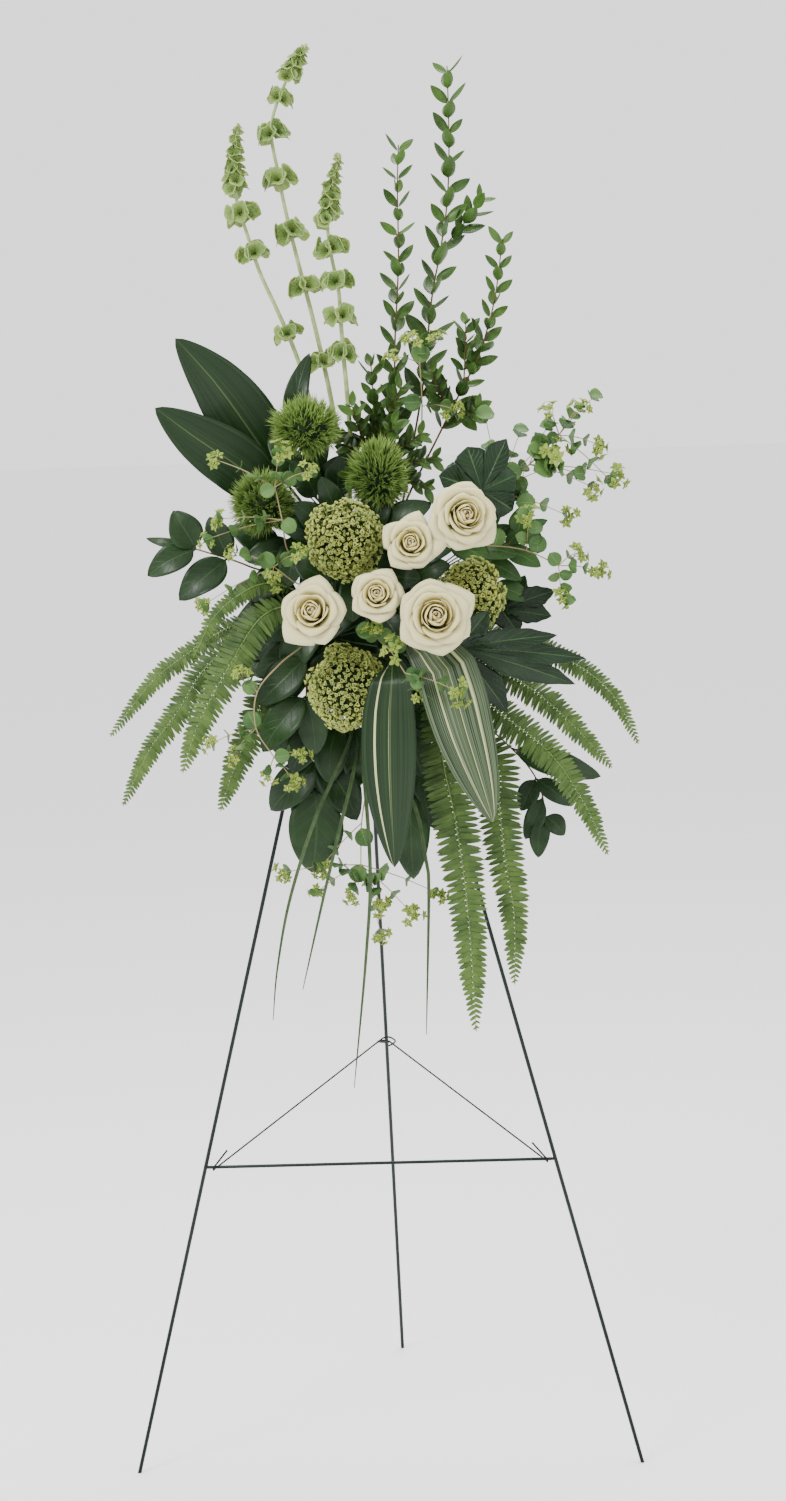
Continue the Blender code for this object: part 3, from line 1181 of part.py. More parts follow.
def make_grass(green):
    grass_tuft("bear_grass", green, ("bottom", 2, 2), (
        ((-0.019, 0.895, -0.130), (-0.063, 0.803, -0.165), (-0.098, 0.705, -0.170), (-0.117, 0.619, -0.170),
         (-0.125, 0.555, -0.165)),
        ((-0.010, 0.880, -0.125), (-0.035, 0.786, -0.170), (-0.056, 0.710, -0.175), (-0.087, 0.592, -0.175)),
        ((-0.003, 0.870, -0.130), (0.001, 0.739, -0.175), (-0.008, 0.632, -0.178), (-0.029, 0.467, -0.175)),
        ((0.012, 0.880, -0.128), (0.056, 0.820, -0.150), (0.069, 0.749, -0.158), (0.071, 0.706, -0.160),
         (0.062, 0.532, -0.155)),
    ))


def main():
    for old in list(bpy.data.objects):
        bpy.data.objects.remove(old)
    paint = material("easel_green_paint", (0.020, 0.055, 0.040), 0.40, 0.3)
    bare = material("brace_dark_wire", (0.020, 0.020, 0.020), 0.45, 0.6)
    foam_green = material("foam_green", (0.050, 0.160, 0.050), 0.90)
    cage_green = material("cage_green", (0.030, 0.120, 0.040), 0.45)
    bell_green = material("bell_green", (0.320, 0.520, 0.160), 0.50)
    myrtle_green = material("myrtle_green", (0.100, 0.230, 0.060), 0.40)
    moss_green = material("moss_green", (0.180, 0.380, 0.060), 0.60)
    olive_green = material("olive_green", (0.330, 0.420, 0.130), 0.60)
    rose_white = material("rose_white", (0.880, 0.850, 0.700), 0.55)
    strap_green = material("strap_green", (0.060, 0.160, 0.050), 0.35)
    dark_green = material("dark_green", (0.020, 0.075, 0.035), 0.25)
    fern_green = material("fern_green", (0.170, 0.370, 0.080), 0.45)
    salal_green = material("salal_green", (0.040, 0.130, 0.050), 0.35)
    fresh_green = material("fresh_green", (0.160, 0.320, 0.120), 0.45)
    lime_green = material("lime_green", (0.450, 0.560, 0.160), 0.50)
    grass_green = material("grass_green", (0.200, 0.290, 0.140), 0.45)

    make_easel(paint, bare)
    make_bells(bell_green)
    make_myrtle(myrtle_green)
    make_heads(moss_green, olive_green)
    make_roses(rose_white)
    make_straps(strap_green)
    make_hands(dark_green)
    make_ferns(fern_green)
    make_salal(salal_green, fresh_green)
    make_bupleurum(lime_green)
    make_grass(grass_green)
    make_foam(foam_green)
    make_cage(cage_green)


main()
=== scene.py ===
import math
import random

import bpy
import numpy as np
from mathutils import Matrix, Vector


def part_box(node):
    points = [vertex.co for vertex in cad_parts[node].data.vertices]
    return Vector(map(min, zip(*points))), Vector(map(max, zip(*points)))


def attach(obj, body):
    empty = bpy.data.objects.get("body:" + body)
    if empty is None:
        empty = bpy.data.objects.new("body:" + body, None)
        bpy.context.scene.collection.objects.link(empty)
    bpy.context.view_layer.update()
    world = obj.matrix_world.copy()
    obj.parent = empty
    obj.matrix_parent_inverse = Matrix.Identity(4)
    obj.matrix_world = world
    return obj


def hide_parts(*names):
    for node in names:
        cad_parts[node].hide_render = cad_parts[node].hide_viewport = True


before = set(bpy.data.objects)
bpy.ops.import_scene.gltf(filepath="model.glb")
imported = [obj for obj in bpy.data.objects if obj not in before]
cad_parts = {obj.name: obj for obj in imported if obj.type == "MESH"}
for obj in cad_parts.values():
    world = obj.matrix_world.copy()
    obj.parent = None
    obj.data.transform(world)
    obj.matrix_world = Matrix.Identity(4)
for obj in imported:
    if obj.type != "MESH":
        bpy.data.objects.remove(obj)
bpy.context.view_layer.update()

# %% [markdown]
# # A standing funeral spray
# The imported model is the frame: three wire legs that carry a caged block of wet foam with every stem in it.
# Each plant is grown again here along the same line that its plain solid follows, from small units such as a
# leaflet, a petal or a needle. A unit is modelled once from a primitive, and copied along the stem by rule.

bar_low, bar_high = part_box("top_bar")
LEG_RADIUS = (bar_high.z - bar_low.z) / 2
PIVOT = (bar_low + bar_high) / 2
UP = Vector((0, 0, 1))
FRONT = Vector((0, -1, 0))
GAP = 0.0003
FRONT_LEAN = 0.120
LEAN = math.atan2(FRONT_LEAN, PIVOT.z)
print("top bar at", tuple(round(value, 4) for value in PIVOT), "wire radius", round(LEG_RADIUS, 4))

# %% [markdown]
# ## Camera, floor and light
# The photograph is taken from a little right of the spray and slightly above its middle, with a long lens.
# The camera is turned by its heading, its tilt and a small roll, in that order, which keeps each angle
# readable. The floor is pale and the light comes from large soft panels, as in a florist's studio.

# %% Camera
EYE = Vector((0.188, -3.650, 1.382))
HEADING = 0.0433
TILT = -0.1394
ROLL = -0.0373
PHOTO_HEIGHT = 1501
FOCAL_PIXELS = 2975
camera_data = bpy.data.cameras.new("camera")
camera_data.sensor_width = 36
camera_data.lens = FOCAL_PIXELS / PHOTO_HEIGHT * camera_data.sensor_width
camera = bpy.data.objects.new("camera", camera_data)
camera.matrix_world = (Matrix.Translation(EYE) @ Matrix.Rotation(HEADING, 4, "Z")
                       @ Matrix.Rotation(math.pi / 2 + TILT, 4, "X") @ Matrix.Rotation(ROLL, 4, "Z"))
bpy.context.scene.collection.objects.link(camera)
bpy.context.scene.camera = camera

# %% Floor, world and lamps
bpy.ops.object.select_all(action="DESELECT")
bpy.ops.mesh.primitive_plane_add(size=60, location=(0, 0, -0.0005))
floor = bpy.context.object
floor.name = "studio_floor"

SKY = 1.7
world = bpy.data.worlds.new("studio")
world.use_nodes = True
world.node_tree.nodes["Background"].inputs["Color"].default_value = (1, 1, 1, 1)
world.node_tree.nodes["Background"].inputs["Strength"].default_value = SKY
bpy.context.scene.world = world


def add_lamp(name, place, target, size, power):
    lamp_data = bpy.data.lights.new(name, "AREA")
    lamp_data.size = size
    lamp_data.energy = power
    lamp = bpy.data.objects.new(name, lamp_data)
    lamp.location = place
    lamp.rotation_euler = (Vector(target) - Vector(place)).to_track_quat("-Z", "Y").to_euler()
    bpy.context.scene.collection.objects.link(lamp)


add_lamp("key_panel", (-1.9, -2.3, 3.2), (0, 0, 1.0), 1.3, 130)
add_lamp("fill_panel", (2.6, -2.2, 1.8), (0, 0, 1.0), 2.2, 25)
add_lamp("top_panel", (0.3, 0.6, 3.4), (0, 0, 1.0), 1.3, 70)

# %% [markdown]
# ## Routes
# A point of a stem is written as it shows from the camera on an upright plane through the spray, with its own
# depth. A smooth curve through such points gives the stem, and each stem starts in its own hole in the foam.
# The tables of plants further down give x, z and y of each point, and every width, in millimetres.

# %% Route helpers
PLANE_Y = -0.100


def seen(x, z, y):
    """The point at depth y that shows, from the camera, at x and z of the plane at PLANE_Y."""
    x, z, y = x / 1000, z / 1000, y / 1000
    share = (y - EYE.y) / (PLANE_Y - EYE.y)
    return Vector((EYE.x + (x - EYE.x) * share, y, EYE.z + (z - EYE.z) * share))


def seen_route(points):
    return [seen(*point) for point in points]


def smooth(points, count, before_first=None):
    """Evenly spaced points along a smooth curve through the given ones."""
    points = [Vector(point) for point in points]
    ends = [before_first or points[0] * 2 - points[1]] + points + [points[-1] * 2 - points[-2]]
    fine = []
    steps = 16
    for before, start, end, after in zip(ends, ends[1:], ends[2:], ends[3:]):
        for step in range(steps):
            t = step / steps
            square = 2 * before - 5 * start + 4 * end - after
            cube = 3 * start - before - 3 * end + after
            fine.append(0.5 * (2 * start + (end - before) * t + square * t ** 2 + cube * t ** 3))
    fine.append(points[-1])
    lengths = np.cumsum([0.0] + [(second - first).length for first, second in zip(fine, fine[1:])])
    result = []
    for target in np.linspace(0, lengths[-1], count):
        step = min(int(np.searchsorted(lengths, target, side="right")) - 1, len(fine) - 2)
        span = lengths[step + 1] - lengths[step]
        result.append(fine[step].lerp(fine[step + 1], (target - lengths[step]) / span if span else 0))
    return result


def directions(points):
    result = []
    for number in range(len(points)):
        before = points[max(number - 1, 0)]
        after = points[min(number + 1, len(points) - 1)]
        result.append((after - before).normalized())
    return result


def point_at(line, spot):
    """The point, or the direction, at a spot that is counted in steps of the line."""
    step = min(int(spot), len(line) - 2)
    return line[step].lerp(line[step + 1], spot - step)


def any_normal(direction):
    side = direction.cross(UP)
    if side.length < 0.1:
        side = direction.cross(FRONT)
    return side.normalized()


def leaf_frame(direction, face):
    """Along, side and normal of a leaf that grows along direction with its upper side towards face."""
    along = direction.normalized()
    side = along.cross(Vector(face))
    if side.length < 0.05:
        side = any_normal(along)
    side.normalize()
    return along, side, side.cross(along).normalized()


def place_of(point, along, side, normal, scale=(1, 1, 1)):
    """A matrix that puts a unit at a point: its X goes to side, its Y to along and its Z to normal."""
    turn = Matrix((side * scale[0], along * scale[1], normal * scale[2])).transposed()
    return Matrix.Translation(point) @ turn.to_4x4()


# %% Holes in the foam
FOAM = Vector((0.124, 0.080, 0.208))
CAGE_WALL = 0.0018
CAGE_TOP_BELOW_BAR = 0.022
HOLE_STEP_X = FOAM.x / 6
HOLE_STEP_Y = FOAM.y / 4
HOLE_STEP_Z = FOAM.z / 10
STRAIGHT_OUT = 0.008
HOLE_DEPTH = 0.035
SIDE_HOLE_DEPTH = 0.024
cage_margin = CAGE_WALL + GAP
foam_frame = (Matrix.Translation(PIVOT) @ Matrix.Rotation(-LEAN, 4, "X") @ Matrix.Translation(
    (0, -LEG_RADIUS - GAP - cage_margin - FOAM.y / 2, -CAGE_TOP_BELOW_BAR - cage_margin - FOAM.z / 2)))


def socket(wall, first, second):
    """The foot of a stem in its hole, and a point just outside the cage."""
    across = (first - 2.5) * HOLE_STEP_X
    if wall == "front":
        mouth = Vector((across, -FOAM.y / 2, (4.5 - second) * HOLE_STEP_Z))
        out, depth = FRONT, HOLE_DEPTH
    elif wall in ("top", "bottom"):
        sign = 1 if wall == "top" else -1
        mouth = Vector((across, (second - 1.5) * HOLE_STEP_Y, sign * FOAM.z / 2))
        out, depth = UP * sign, HOLE_DEPTH
    else:
        sign = 1 if wall == "right" else -1
        mouth = Vector((sign * FOAM.x / 2, (second - 1.5) * HOLE_STEP_Y, (4.5 - first) * HOLE_STEP_Z))
        out, depth = Vector((sign, 0, 0)), SIDE_HOLE_DEPTH
    return foam_frame @ (mouth - out * (depth - GAP)), foam_frame @ (mouth + out * STRAIGHT_OUT)


def stem_line(place, points, count):
    root, mouth = socket(*place)
    return [root] + smooth([mouth] + points, count - 1, root)


# %% [markdown]
# ## Modelling helpers
# A leaf, a petal and a bract are all a sheet with an outline and a curve. Each starts as a grid, whose points
# are moved by a rule of two numbers: u runs from -1 to 1 across it and v from 0 to 1 along it. Solidify then
# gives it its real thickness. Stems are curves with a round bevel, made into meshes.

# %% Sheets, stems and copies


def put_attribute(mesh, name, values):
    layer = mesh.attributes.get(name) or mesh.attributes.new(name, "FLOAT", "POINT")
    layer.data.foreach_set("value", np.asarray(values, np.float32))


def shade_mesh(mesh, shade):
    put_attribute(mesh, "shade", np.full(len(mesh.vertices), shade))


def select_only(made):
    bpy.ops.object.select_all(action="DESELECT")
    made.select_set(True)
    bpy.context.view_layer.objects.active = made


def sheet_of(name, columns, rows, rule, thickness, material, closed=False):
    """A grid primitive whose points go where rule(u, v) says. A closed one meets itself at u = 1."""
    bpy.ops.object.select_all(action="DESELECT")
    bpy.ops.mesh.primitive_grid_add(x_subdivisions=columns, y_subdivisions=rows, size=2)
    made = bpy.context.object
    made.name = name
    corners = np.zeros(len(made.data.vertices) * 3, np.float32)
    made.data.vertices.foreach_get("co", corners)
    corners = corners.reshape(-1, 3)
    shape = [rule(float(u), float(v) / 2 + 0.5) for u, v, _ in corners]
    put_attribute(made.data, "along", corners[:, 1] / 2 + 0.5)
    shade_mesh(made.data, 0)
    made.data.vertices.foreach_set("co", np.array(shape, np.float32).reshape(-1))
    made.data.materials.append(material)
    if closed:
        bpy.ops.object.mode_set(mode="EDIT")
        bpy.ops.mesh.select_all(action="SELECT")
        bpy.ops.mesh.remove_doubles(threshold=0.00001)
        bpy.ops.object.mode_set(mode="OBJECT")
    bpy.ops.object.shade_smooth()
    if thickness:
        wall = made.modifiers.new("thickness", "SOLIDIFY")
        wall.thickness = thickness
        wall.offset = 0
        bpy.ops.object.modifier_apply(modifier=wall.name)
    return made


def stem_of(name, line, radii, material, sides=8):
    """A round stem along a line; radii are at its two ends."""
    curve = bpy.data.curves.new(name, "CURVE")
    curve.dimensions = "3D"
    curve.bevel_depth = 1.0
    curve.bevel_resolution = max(0, sides // 2 - 2)
    curve.use_fill_caps = True
    spline = curve.splines.new("POLY")
    spline.points.add(len(line) - 1)
    for number, (spot, point) in enumerate(zip(spline.points, line)):
        spot.co = (*point, 1)
        spot.radius = radii[0] + (radii[1] - radii[0]) * number / (len(line) - 1)
    made = bpy.data.objects.new(name, curve)
    bpy.context.scene.collection.objects.link(made)
    select_only(made)
    bpy.ops.object.convert(target="MESH")
    made = bpy.context.object
    bpy.ops.object.shade_smooth()
    made.data.materials.clear()
    made.data.materials.append(material)
    if not made.data.uv_layers:
        made.data.uv_layers.new(name="UVMap")
    put_attribute(made.data, "along", np.zeros(len(made.data.vertices)))
    shade_mesh(made.data, 0)
    return made


def main_stem(node, line, count, radii, material, sides=8):
    """A plant's stem: straight out of its hole, then a smooth curve of count points."""
    return stem_of(node + "_stem", [line[0]] + smooth(line[1:], count), radii, material, sides)


def copy_of(unit, place, shade):
    """A copy of a unit with its own mesh, put in place, with its own shade."""
    mesh = unit.data.copy()
    mesh.transform(place)
    shade_mesh(mesh, shade)
    made = bpy.data.objects.new(unit.name, mesh)
    bpy.context.scene.collection.objects.link(made)
    return made


def joined(name, pieces):
    bpy.ops.object.select_all(action="DESELECT")
    for piece in pieces:
        piece.select_set(True)
    bpy.context.view_layer.objects.active = pieces[0]
    if len(pieces) > 1:
        bpy.ops.object.join()
    made = bpy.context.object
    made.name = name
    made.data.name = name
    bpy.ops.object.transform_apply(location=True, rotation=True, scale=True)
    return made


def remove(*units):
    for unit in units:
        bpy.data.objects.remove(unit)


triangle_counts = {}


def plant(node, pieces):
    """Join a plant's pieces and let them stand for its plain solid."""
    made = joined(node + "_grown", pieces)
    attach(made, "easel")
    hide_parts(node)
    triangle_counts[node] = sum(len(face.vertices) - 2 for face in made.data.polygons)


def print_counts(*words):
    """Print the triangles of the plants whose names have one of the words."""
    print({node: count for node, count in triangle_counts.items() if any(word in node for word in words)})


# %% [markdown]
# ## Paints
# A small class wraps a shader socket, so that a pattern is written as a Python expression. Each plant's
# colour comes from where a point lies on its own leaf, from the shade of that one leaf, and from a soft
# noise.

# %% Shader helpers


class Signal:
    """A number that changes over a surface. Python's operators on it add Math nodes."""

    def __init__(self, paint, output):
        self.paint = paint
        self.output = output

    def __add__(self, other):
        return self.paint.maths("ADD", self, other)

    def __sub__(self, other):
        return self.paint.maths("SUBTRACT", self, other)

    def __rsub__(self, other):
        return self.paint.maths("SUBTRACT", other, self)

    def __mul__(self, other):
        return self.paint.maths("MULTIPLY", self, other)

    def __abs__(self):
        return self.paint.maths("ABSOLUTE", self)

    def fraction(self):
        return self.paint.maths("FRACT", self)

    def between(self, low, high):
        """0 below low, 1 above high, and straight in between."""
        return self.paint.node("ShaderNodeMapRange", {"clamp": True},
                               {"Value": self, "From Min": low, "From Max": high})


class Paint:
    """A material and the nodes that colour it."""

    def __init__(self, name, roughness, metallic=0.0, coat=0.0, subsurface=0.0):
        self.material = bpy.data.materials.new(name)
        self.material.use_nodes = True
        self.tree = self.material.node_tree
        self.shader = self.tree.nodes["Principled BSDF"]
        values = {"Roughness": roughness, "Metallic": metallic, "Specular IOR Level": 0.22,
                  "Coat Weight": coat, "Coat Roughness": 0.25, "Subsurface Weight": subsurface,
                  "Subsurface Radius": (0.004, 0.004, 0.002), "Subsurface Scale": 1.0}
        for name, value in values.items():
            self.shader.inputs[name].default_value = value

    def node(self, kind, settings, values, output=0):
        made = self.tree.nodes.new(kind)
        for name, value in settings.items():
            setattr(made, name, value)
        for name, value in values.items():
            if isinstance(value, Signal):
                self.tree.links.new(value.output, made.inputs[name])
            else:
                made.inputs[name].default_value = value
        return Signal(self, made.outputs[output])

    def maths(self, operation, first, second=0.0):
        return self.node("ShaderNodeMath", {"operation": operation}, {0: first, 1: second})

    def blend(self, factor, first, second):
        """The first colour where factor is 0 and the second where it is 1."""
        first, second = [value if isinstance(value, Signal) else (*value, 1) for value in (first, second)]
        return self.node("ShaderNodeMix", {"data_type": "RGBA"}, {0: factor, 6: first, 7: second}, 2)

    def grain(self, scale, detail=3.0, vector=None):
        """A soft noise between about 0.3 and 0.7, over the object or over the given vector."""
        vector = vector or self.node("ShaderNodeTexCoord", {}, {}, "Object")
        return self.node("ShaderNodeTexNoise", {}, {"Vector": vector, "Scale": scale, "Detail": detail})

    def stretched(self, across, along):
        """The leaf's own coordinates, stretched, for streaks that follow it."""
        place = self.node("ShaderNodeUVMap", {}, {})
        return self.node("ShaderNodeVectorMath", {"operation": "MULTIPLY"}, {0: place, 1: (across, along, 1)})

    def place(self):
        """From the leaf's middle line outwards, along it, and across it from edge to edge, each 0 to 1."""
        pair = self.node("ShaderNodeUVMap", {}, {})
        u = self.node("ShaderNodeSeparateXYZ", {}, {0: pair}, 0)
        v = self.node("ShaderNodeSeparateXYZ", {}, {0: pair}, 1)
        return abs(u * 2 - 1), v, u

    def attribute(self, name):
        return self.node("ShaderNodeAttribute", {"attribute_name": name}, {}, "Fac")

    def wear(self, name, signal):
        self.tree.links.new(signal.output, self.shader.inputs[name])

    def bump(self, height, strength, distance=0.0006):
        values = {"Height": height, "Strength": strength, "Distance": distance}
        self.wear("Normal", self.node("ShaderNodeBump", {}, values))


# %% Leaf paints
VEIN_SLANT = 0.30


def leaf_paint(name, dark, light, vein, roughness, side_veins=7, vein_share=0.5, coat=0.0):
    """A broad leaf: a pale middle rib, slanting side veins, and a soft unevenness of colour."""
    paint = Paint(name, roughness, coat=coat)
    across, along, _ = paint.place()
    rib = 1 - across.between(0.015, 0.07)
    lines = abs((along * side_veins - across * (VEIN_SLANT * side_veins)).fraction() * 2 - 1)
    veins = lines.between(0.86, 0.98) * (1 - across.between(0.75, 1.0))
    patch = paint.grain(45).between(0.35, 0.65)
    shade = paint.attribute("shade")
    colour = paint.blend(paint.maths("MINIMUM", patch * 0.45 + shade * 0.75, 1.0), dark, light)
    colour = paint.blend(veins * (0.45 * vein_share), colour, vein)
    paint.wear("Base Color", paint.blend(rib * vein_share, colour, vein))
    paint.wear("Roughness", paint.grain(120).between(0.3, 0.7) * 0.12 + (roughness - 0.06))
    paint.bump(rib * -0.6 + veins * -0.35 + paint.grain(260) * 0.35, 0.6)
    return paint.material


salal_leaf = leaf_paint("salal_leaf_paint", (0.0035, 0.0140, 0.0026), (0.0120, 0.0370, 0.0070),
                        (0.030, 0.068, 0.018), 0.38, coat=0.04)
myrtle_leaf = leaf_paint("myrtle_leaf_paint", (0.0050, 0.0200, 0.0035), (0.0600, 0.1300, 0.0190),
                         (0.060, 0.130, 0.030), 0.36, side_veins=9, vein_share=0.4, coat=0.03)
fresh_leaf = leaf_paint("fresh_leaf_paint", (0.0120, 0.0420, 0.0080), (0.0450, 0.1100, 0.0230),
                        (0.100, 0.180, 0.060), 0.42, vein_share=0.55)
hand_leaf = leaf_paint("aralia_leaf_paint", (0.0016, 0.0100, 0.0018), (0.0060, 0.0270, 0.0050),
                       (0.050, 0.105, 0.032), 0.26, side_veins=8, vein_share=0.70, coat=0.05)
fern_leaf = leaf_paint("fern_leaf_paint", (0.0130, 0.0360, 0.0060), (0.0800, 0.1380, 0.0270),
                       (0.100, 0.160, 0.038), 0.50, side_veins=11, vein_share=0.35)
round_leaf = leaf_paint("bupleurum_leaf_paint", (0.0220, 0.0650, 0.0150), (0.0850, 0.1700, 0.0430),
                        (0.140, 0.230, 0.080), 0.50, side_veins=5, vein_share=0.6)
bract_leaf = leaf_paint("bupleurum_bract_paint", (0.0800, 0.1500, 0.0170), (0.2300, 0.3100, 0.0500),
                        (0.280, 0.360, 0.090), 0.50, side_veins=4, vein_share=0.4)


def strap_paint(name, cream_from, cream_to, stripes, haze=0.0):
    """A long leaf of fine lengthwise ribs with cream stripes that run its whole length, and a pale haze."""
    paint = Paint(name, 0.36, coat=0.04)
    across, along, _ = paint.place()
    wide = paint.grain(1.0, 2.0, paint.stretched(stripes, 0.25))
    fine = paint.grain(1.0, 2.0, paint.stretched(60, 0.8))
    ribs = paint.grain(1.0, 1.0, paint.stretched(170, 0.5))
    green = paint.blend(fine.between(0.35, 0.70), (0.0028, 0.0125, 0.0028), (0.0130, 0.0370, 0.0075))
    if haze:
        green = paint.blend(fine.between(0.38, 0.62) * haze, green, (0.1300, 0.1750, 0.0950))
    cream = (wide * 0.80 + fine * 0.20).between(cream_from, cream_to)
    colour = paint.blend(cream * (1 - across.between(0.9, 1.0)), green, (0.4300, 0.4600, 0.2300))
    rib = 1 - across.between(0.01, 0.04)
    paint.wear("Base Color", paint.blend(rib * 0.4, colour, (0.1200, 0.1700, 0.0600)))
    paint.bump(ribs * 0.8 - rib * 0.5, 0.5)
    return paint.material


strap_dark = strap_paint("aspidistra_dark_paint", 0.72, 0.76, 26)
strap_lined = strap_paint("aspidistra_lined_paint", 0.600, 0.625, 11)
strap_striped = strap_paint("aspidistra_striped_paint", 0.535, 0.580, 8, 0.75)

# %% Flower paints


def petal_paint():
    """Ivory petals: creamier deep inside, green at the foot and darkened there as painted shade, with fine
    veins from the foot to the rim.
    """
    paint = Paint("rose_petal_paint", 0.55, subsurface=0.25)
    _, along, _ = paint.place()
    inner = paint.attribute("shade")
    veins = paint.grain(1.0, 2.0, paint.stretched(60, 3))
    colour = paint.blend(inner, (0.610, 0.555, 0.285), (0.590, 0.480, 0.180))
    # The foot colour is partly the real green of a petal's base and partly painted shade deep inside the
    # flower.
    colour = paint.blend((1 - along.between(0.15, 0.75)) * 0.80, colour, (0.300, 0.290, 0.080))
    colour = paint.blend(along.between(0.90, 1.0) * 0.40, colour, (0.700, 0.650, 0.430))
    paint.wear("Base Color", paint.blend(veins.between(0.55, 0.75) * 0.15, colour, (0.430, 0.400, 0.190)))
    paint.bump(veins * 0.5 + paint.grain(200) * 0.3, 0.35)
    return paint.material


def bell_paint():
    """A calyx like a shell: pale green with a net of paler veins and a thin pale rim."""
    paint = Paint("bell_calyx_paint", 0.48, subsurface=0.15)
    _, along, around = paint.place()
    spokes = abs((around * 10).fraction() * 2 - 1).between(0.80, 0.97)
    net = paint.node("ShaderNodeTexVoronoi", {"feature": "DISTANCE_TO_EDGE"},
                     {"Vector": paint.stretched(22, 7), "Scale": 1.0})
    veins = paint.maths("MAXIMUM", spokes, 1 - net.between(0.02, 0.09)) * along.between(0.1, 0.3)
    shade = paint.attribute("shade")
    colour = paint.blend(shade, (0.046, 0.100, 0.019), (0.140, 0.220, 0.052))
    colour = paint.blend((1 - along.between(0.0, 0.35)) * 0.5, colour, (0.220, 0.310, 0.080))
    colour = paint.blend(veins * 0.40, colour, (0.260, 0.370, 0.110))
    paint.wear("Base Color", paint.blend(along.between(0.92, 1.0) * 0.8, colour, (0.330, 0.430, 0.140)))
    paint.bump(veins * 0.6, 0.5)
    return paint.material


def tip_paint(name, foot, middle, tip, roughness, subsurface=0.0):
    """A paint that changes from a unit's foot to its tip, and a little from unit to unit."""
    paint = Paint(name, roughness, subsurface=subsurface)
    along = paint.attribute("along")
    shade = paint.attribute("shade")
    colour = paint.blend(along.between(0.0, 0.5), foot, middle)
    colour = paint.blend(along.between(0.5, 1.0), colour, tip)
    # shade darkens a whole unit: random tone on most units, painted shade on the moss balls.
    paint.wear("Base Color", paint.blend(shade * 0.5, colour, [value * 0.45 for value in middle]))
    paint.bump(paint.grain(600), 0.2, 0.0003)
    return paint.material


rose_petal = petal_paint()
bell_calyx = bell_paint()
# The moss needles are dark at their feet, deep inside the ball, as painted shade over their own green; the
# tips keep their lime colour.
moss_needle = tip_paint("moss_needle_paint", (0.008, 0.028, 0.004), (0.095, 0.185, 0.026),
                        (0.300, 0.420, 0.105), 0.6)
floret_petal = tip_paint("floret_paint", (0.022, 0.050, 0.007), (0.130, 0.185, 0.028),
                         (0.440, 0.490, 0.130), 0.55, 0.1)
yellow_floret = tip_paint("yellow_floret_paint", (0.060, 0.100, 0.012), (0.250, 0.300, 0.045),
                          (0.520, 0.540, 0.130), 0.6)

# %% Stem, foam and wire paints


def stem_paint(name, first, second, roughness=0.5):
    """A stem with lengthwise streaks of a second colour."""
    paint = Paint(name, roughness)
    streaks = paint.grain(90, 4.0)
    paint.wear("Base Color", paint.blend(streaks.between(0.35, 0.65), first, second))
    paint.bump(paint.grain(400), 0.3, 0.0003)
    return paint.material


pale_stem = stem_paint("bell_stem_paint", (0.230, 0.310, 0.110), (0.360, 0.430, 0.190))
woody_stem = stem_paint("woody_stem_paint", (0.070, 0.025, 0.010), (0.110, 0.080, 0.025), 0.6)
green_stem = stem_paint("green_stem_paint", (0.015, 0.045, 0.010), (0.040, 0.090, 0.020))
cream_stem = stem_paint("bupleurum_stem_paint", (0.230, 0.220, 0.100), (0.240, 0.160, 0.090))
fern_rib = stem_paint("fern_rib_paint", (0.080, 0.140, 0.030), (0.130, 0.190, 0.050))
grass_blade = stem_paint("grass_blade_paint", (0.028, 0.056, 0.018), (0.052, 0.084, 0.030))
floret_stalk = stem_paint("floret_stalk_paint", (0.030, 0.060, 0.010), (0.060, 0.095, 0.018))
# Painted shade: a near-black core under the moss needles and the floret umbels, so the gaps between them read
# as the shade deep inside.
painted_shade_core = stem_paint("painted_shade_core_paint", (0.0030, 0.0100, 0.0020), (0.0090, 0.0240, 0.0050), 0.8)


def wire_paint(name, colour, worn, roughness, metallic):
    """Paint on wire: slightly uneven, a little glossier and darker in patches."""
    paint = Paint(name, roughness, metallic=metallic, coat=0.02)
    patch = paint.grain(14, 5.0).between(0.45, 0.75)
    paint.wear("Base Color", paint.blend(patch * 0.5, colour, worn))
    paint.wear("Roughness", paint.grain(160, 4.0).between(0.3, 0.7) * 0.15 + (roughness - 0.08))
    paint.bump(paint.grain(900, 2.0), 0.15, 0.0002)
    return paint.material


leg_paint = wire_paint("easel_leg_paint", (0.0010, 0.0065, 0.0045), (0.0030, 0.0130, 0.0090), 0.38, 0.0)
brace_paint = wire_paint("brace_wire_paint", (0.0010, 0.0020, 0.0018), (0.0040, 0.0060, 0.0050), 0.42, 0.1)


def foam_paint():
    """Wet foam: dark green, with fine open cells."""
    paint = Paint("wet_foam_paint", 0.85)
    cells = paint.grain(900, 2.0)
    patch = paint.grain(30).between(0.3, 0.7)
    paint.wear("Base Color", paint.blend(patch, (0.005, 0.020, 0.005), (0.012, 0.035, 0.010)))
    paint.bump(cells, 0.8)
    return paint.material


wet_foam = foam_paint()
cage_plastic = wire_paint("cage_plastic_paint", (0.004, 0.025, 0.007), (0.007, 0.034, 0.010), 0.42, 0.0)
print("paints made:", len(bpy.data.materials))

# %% Floor paint


def floor_paint():
    paint = Paint("studio_floor_paint", 0.85)
    paint.shader.inputs["Base Color"].default_value = (0.93, 0.93, 0.93, 1)
    return paint.material


floor.data.materials.append(floor_paint())

# %% [markdown]
# ## Easel
# A florist's easel is thick painted wire, welded where the pieces meet. Each straight wire is a cylinder
# set between its two ends, whose rims are bevelled. The legs are cut flat on the floor with a bisect. The
# back leg and the braces are bent wire, so they are curves with a round bevel.

# %% Wires of the easel
foot_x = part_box("front_leg_right")[1].x - LEG_RADIUS
foot_y = PIVOT.y - FRONT_LEAN
TOP_SPREAD = 0.012
PAST_FLOOR = 0.005
cross_low, cross_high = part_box("cross_bar")
CROSS_RADIUS = (cross_high.z - cross_low.z) / 2
cross_middle = (cross_low + cross_high) / 2


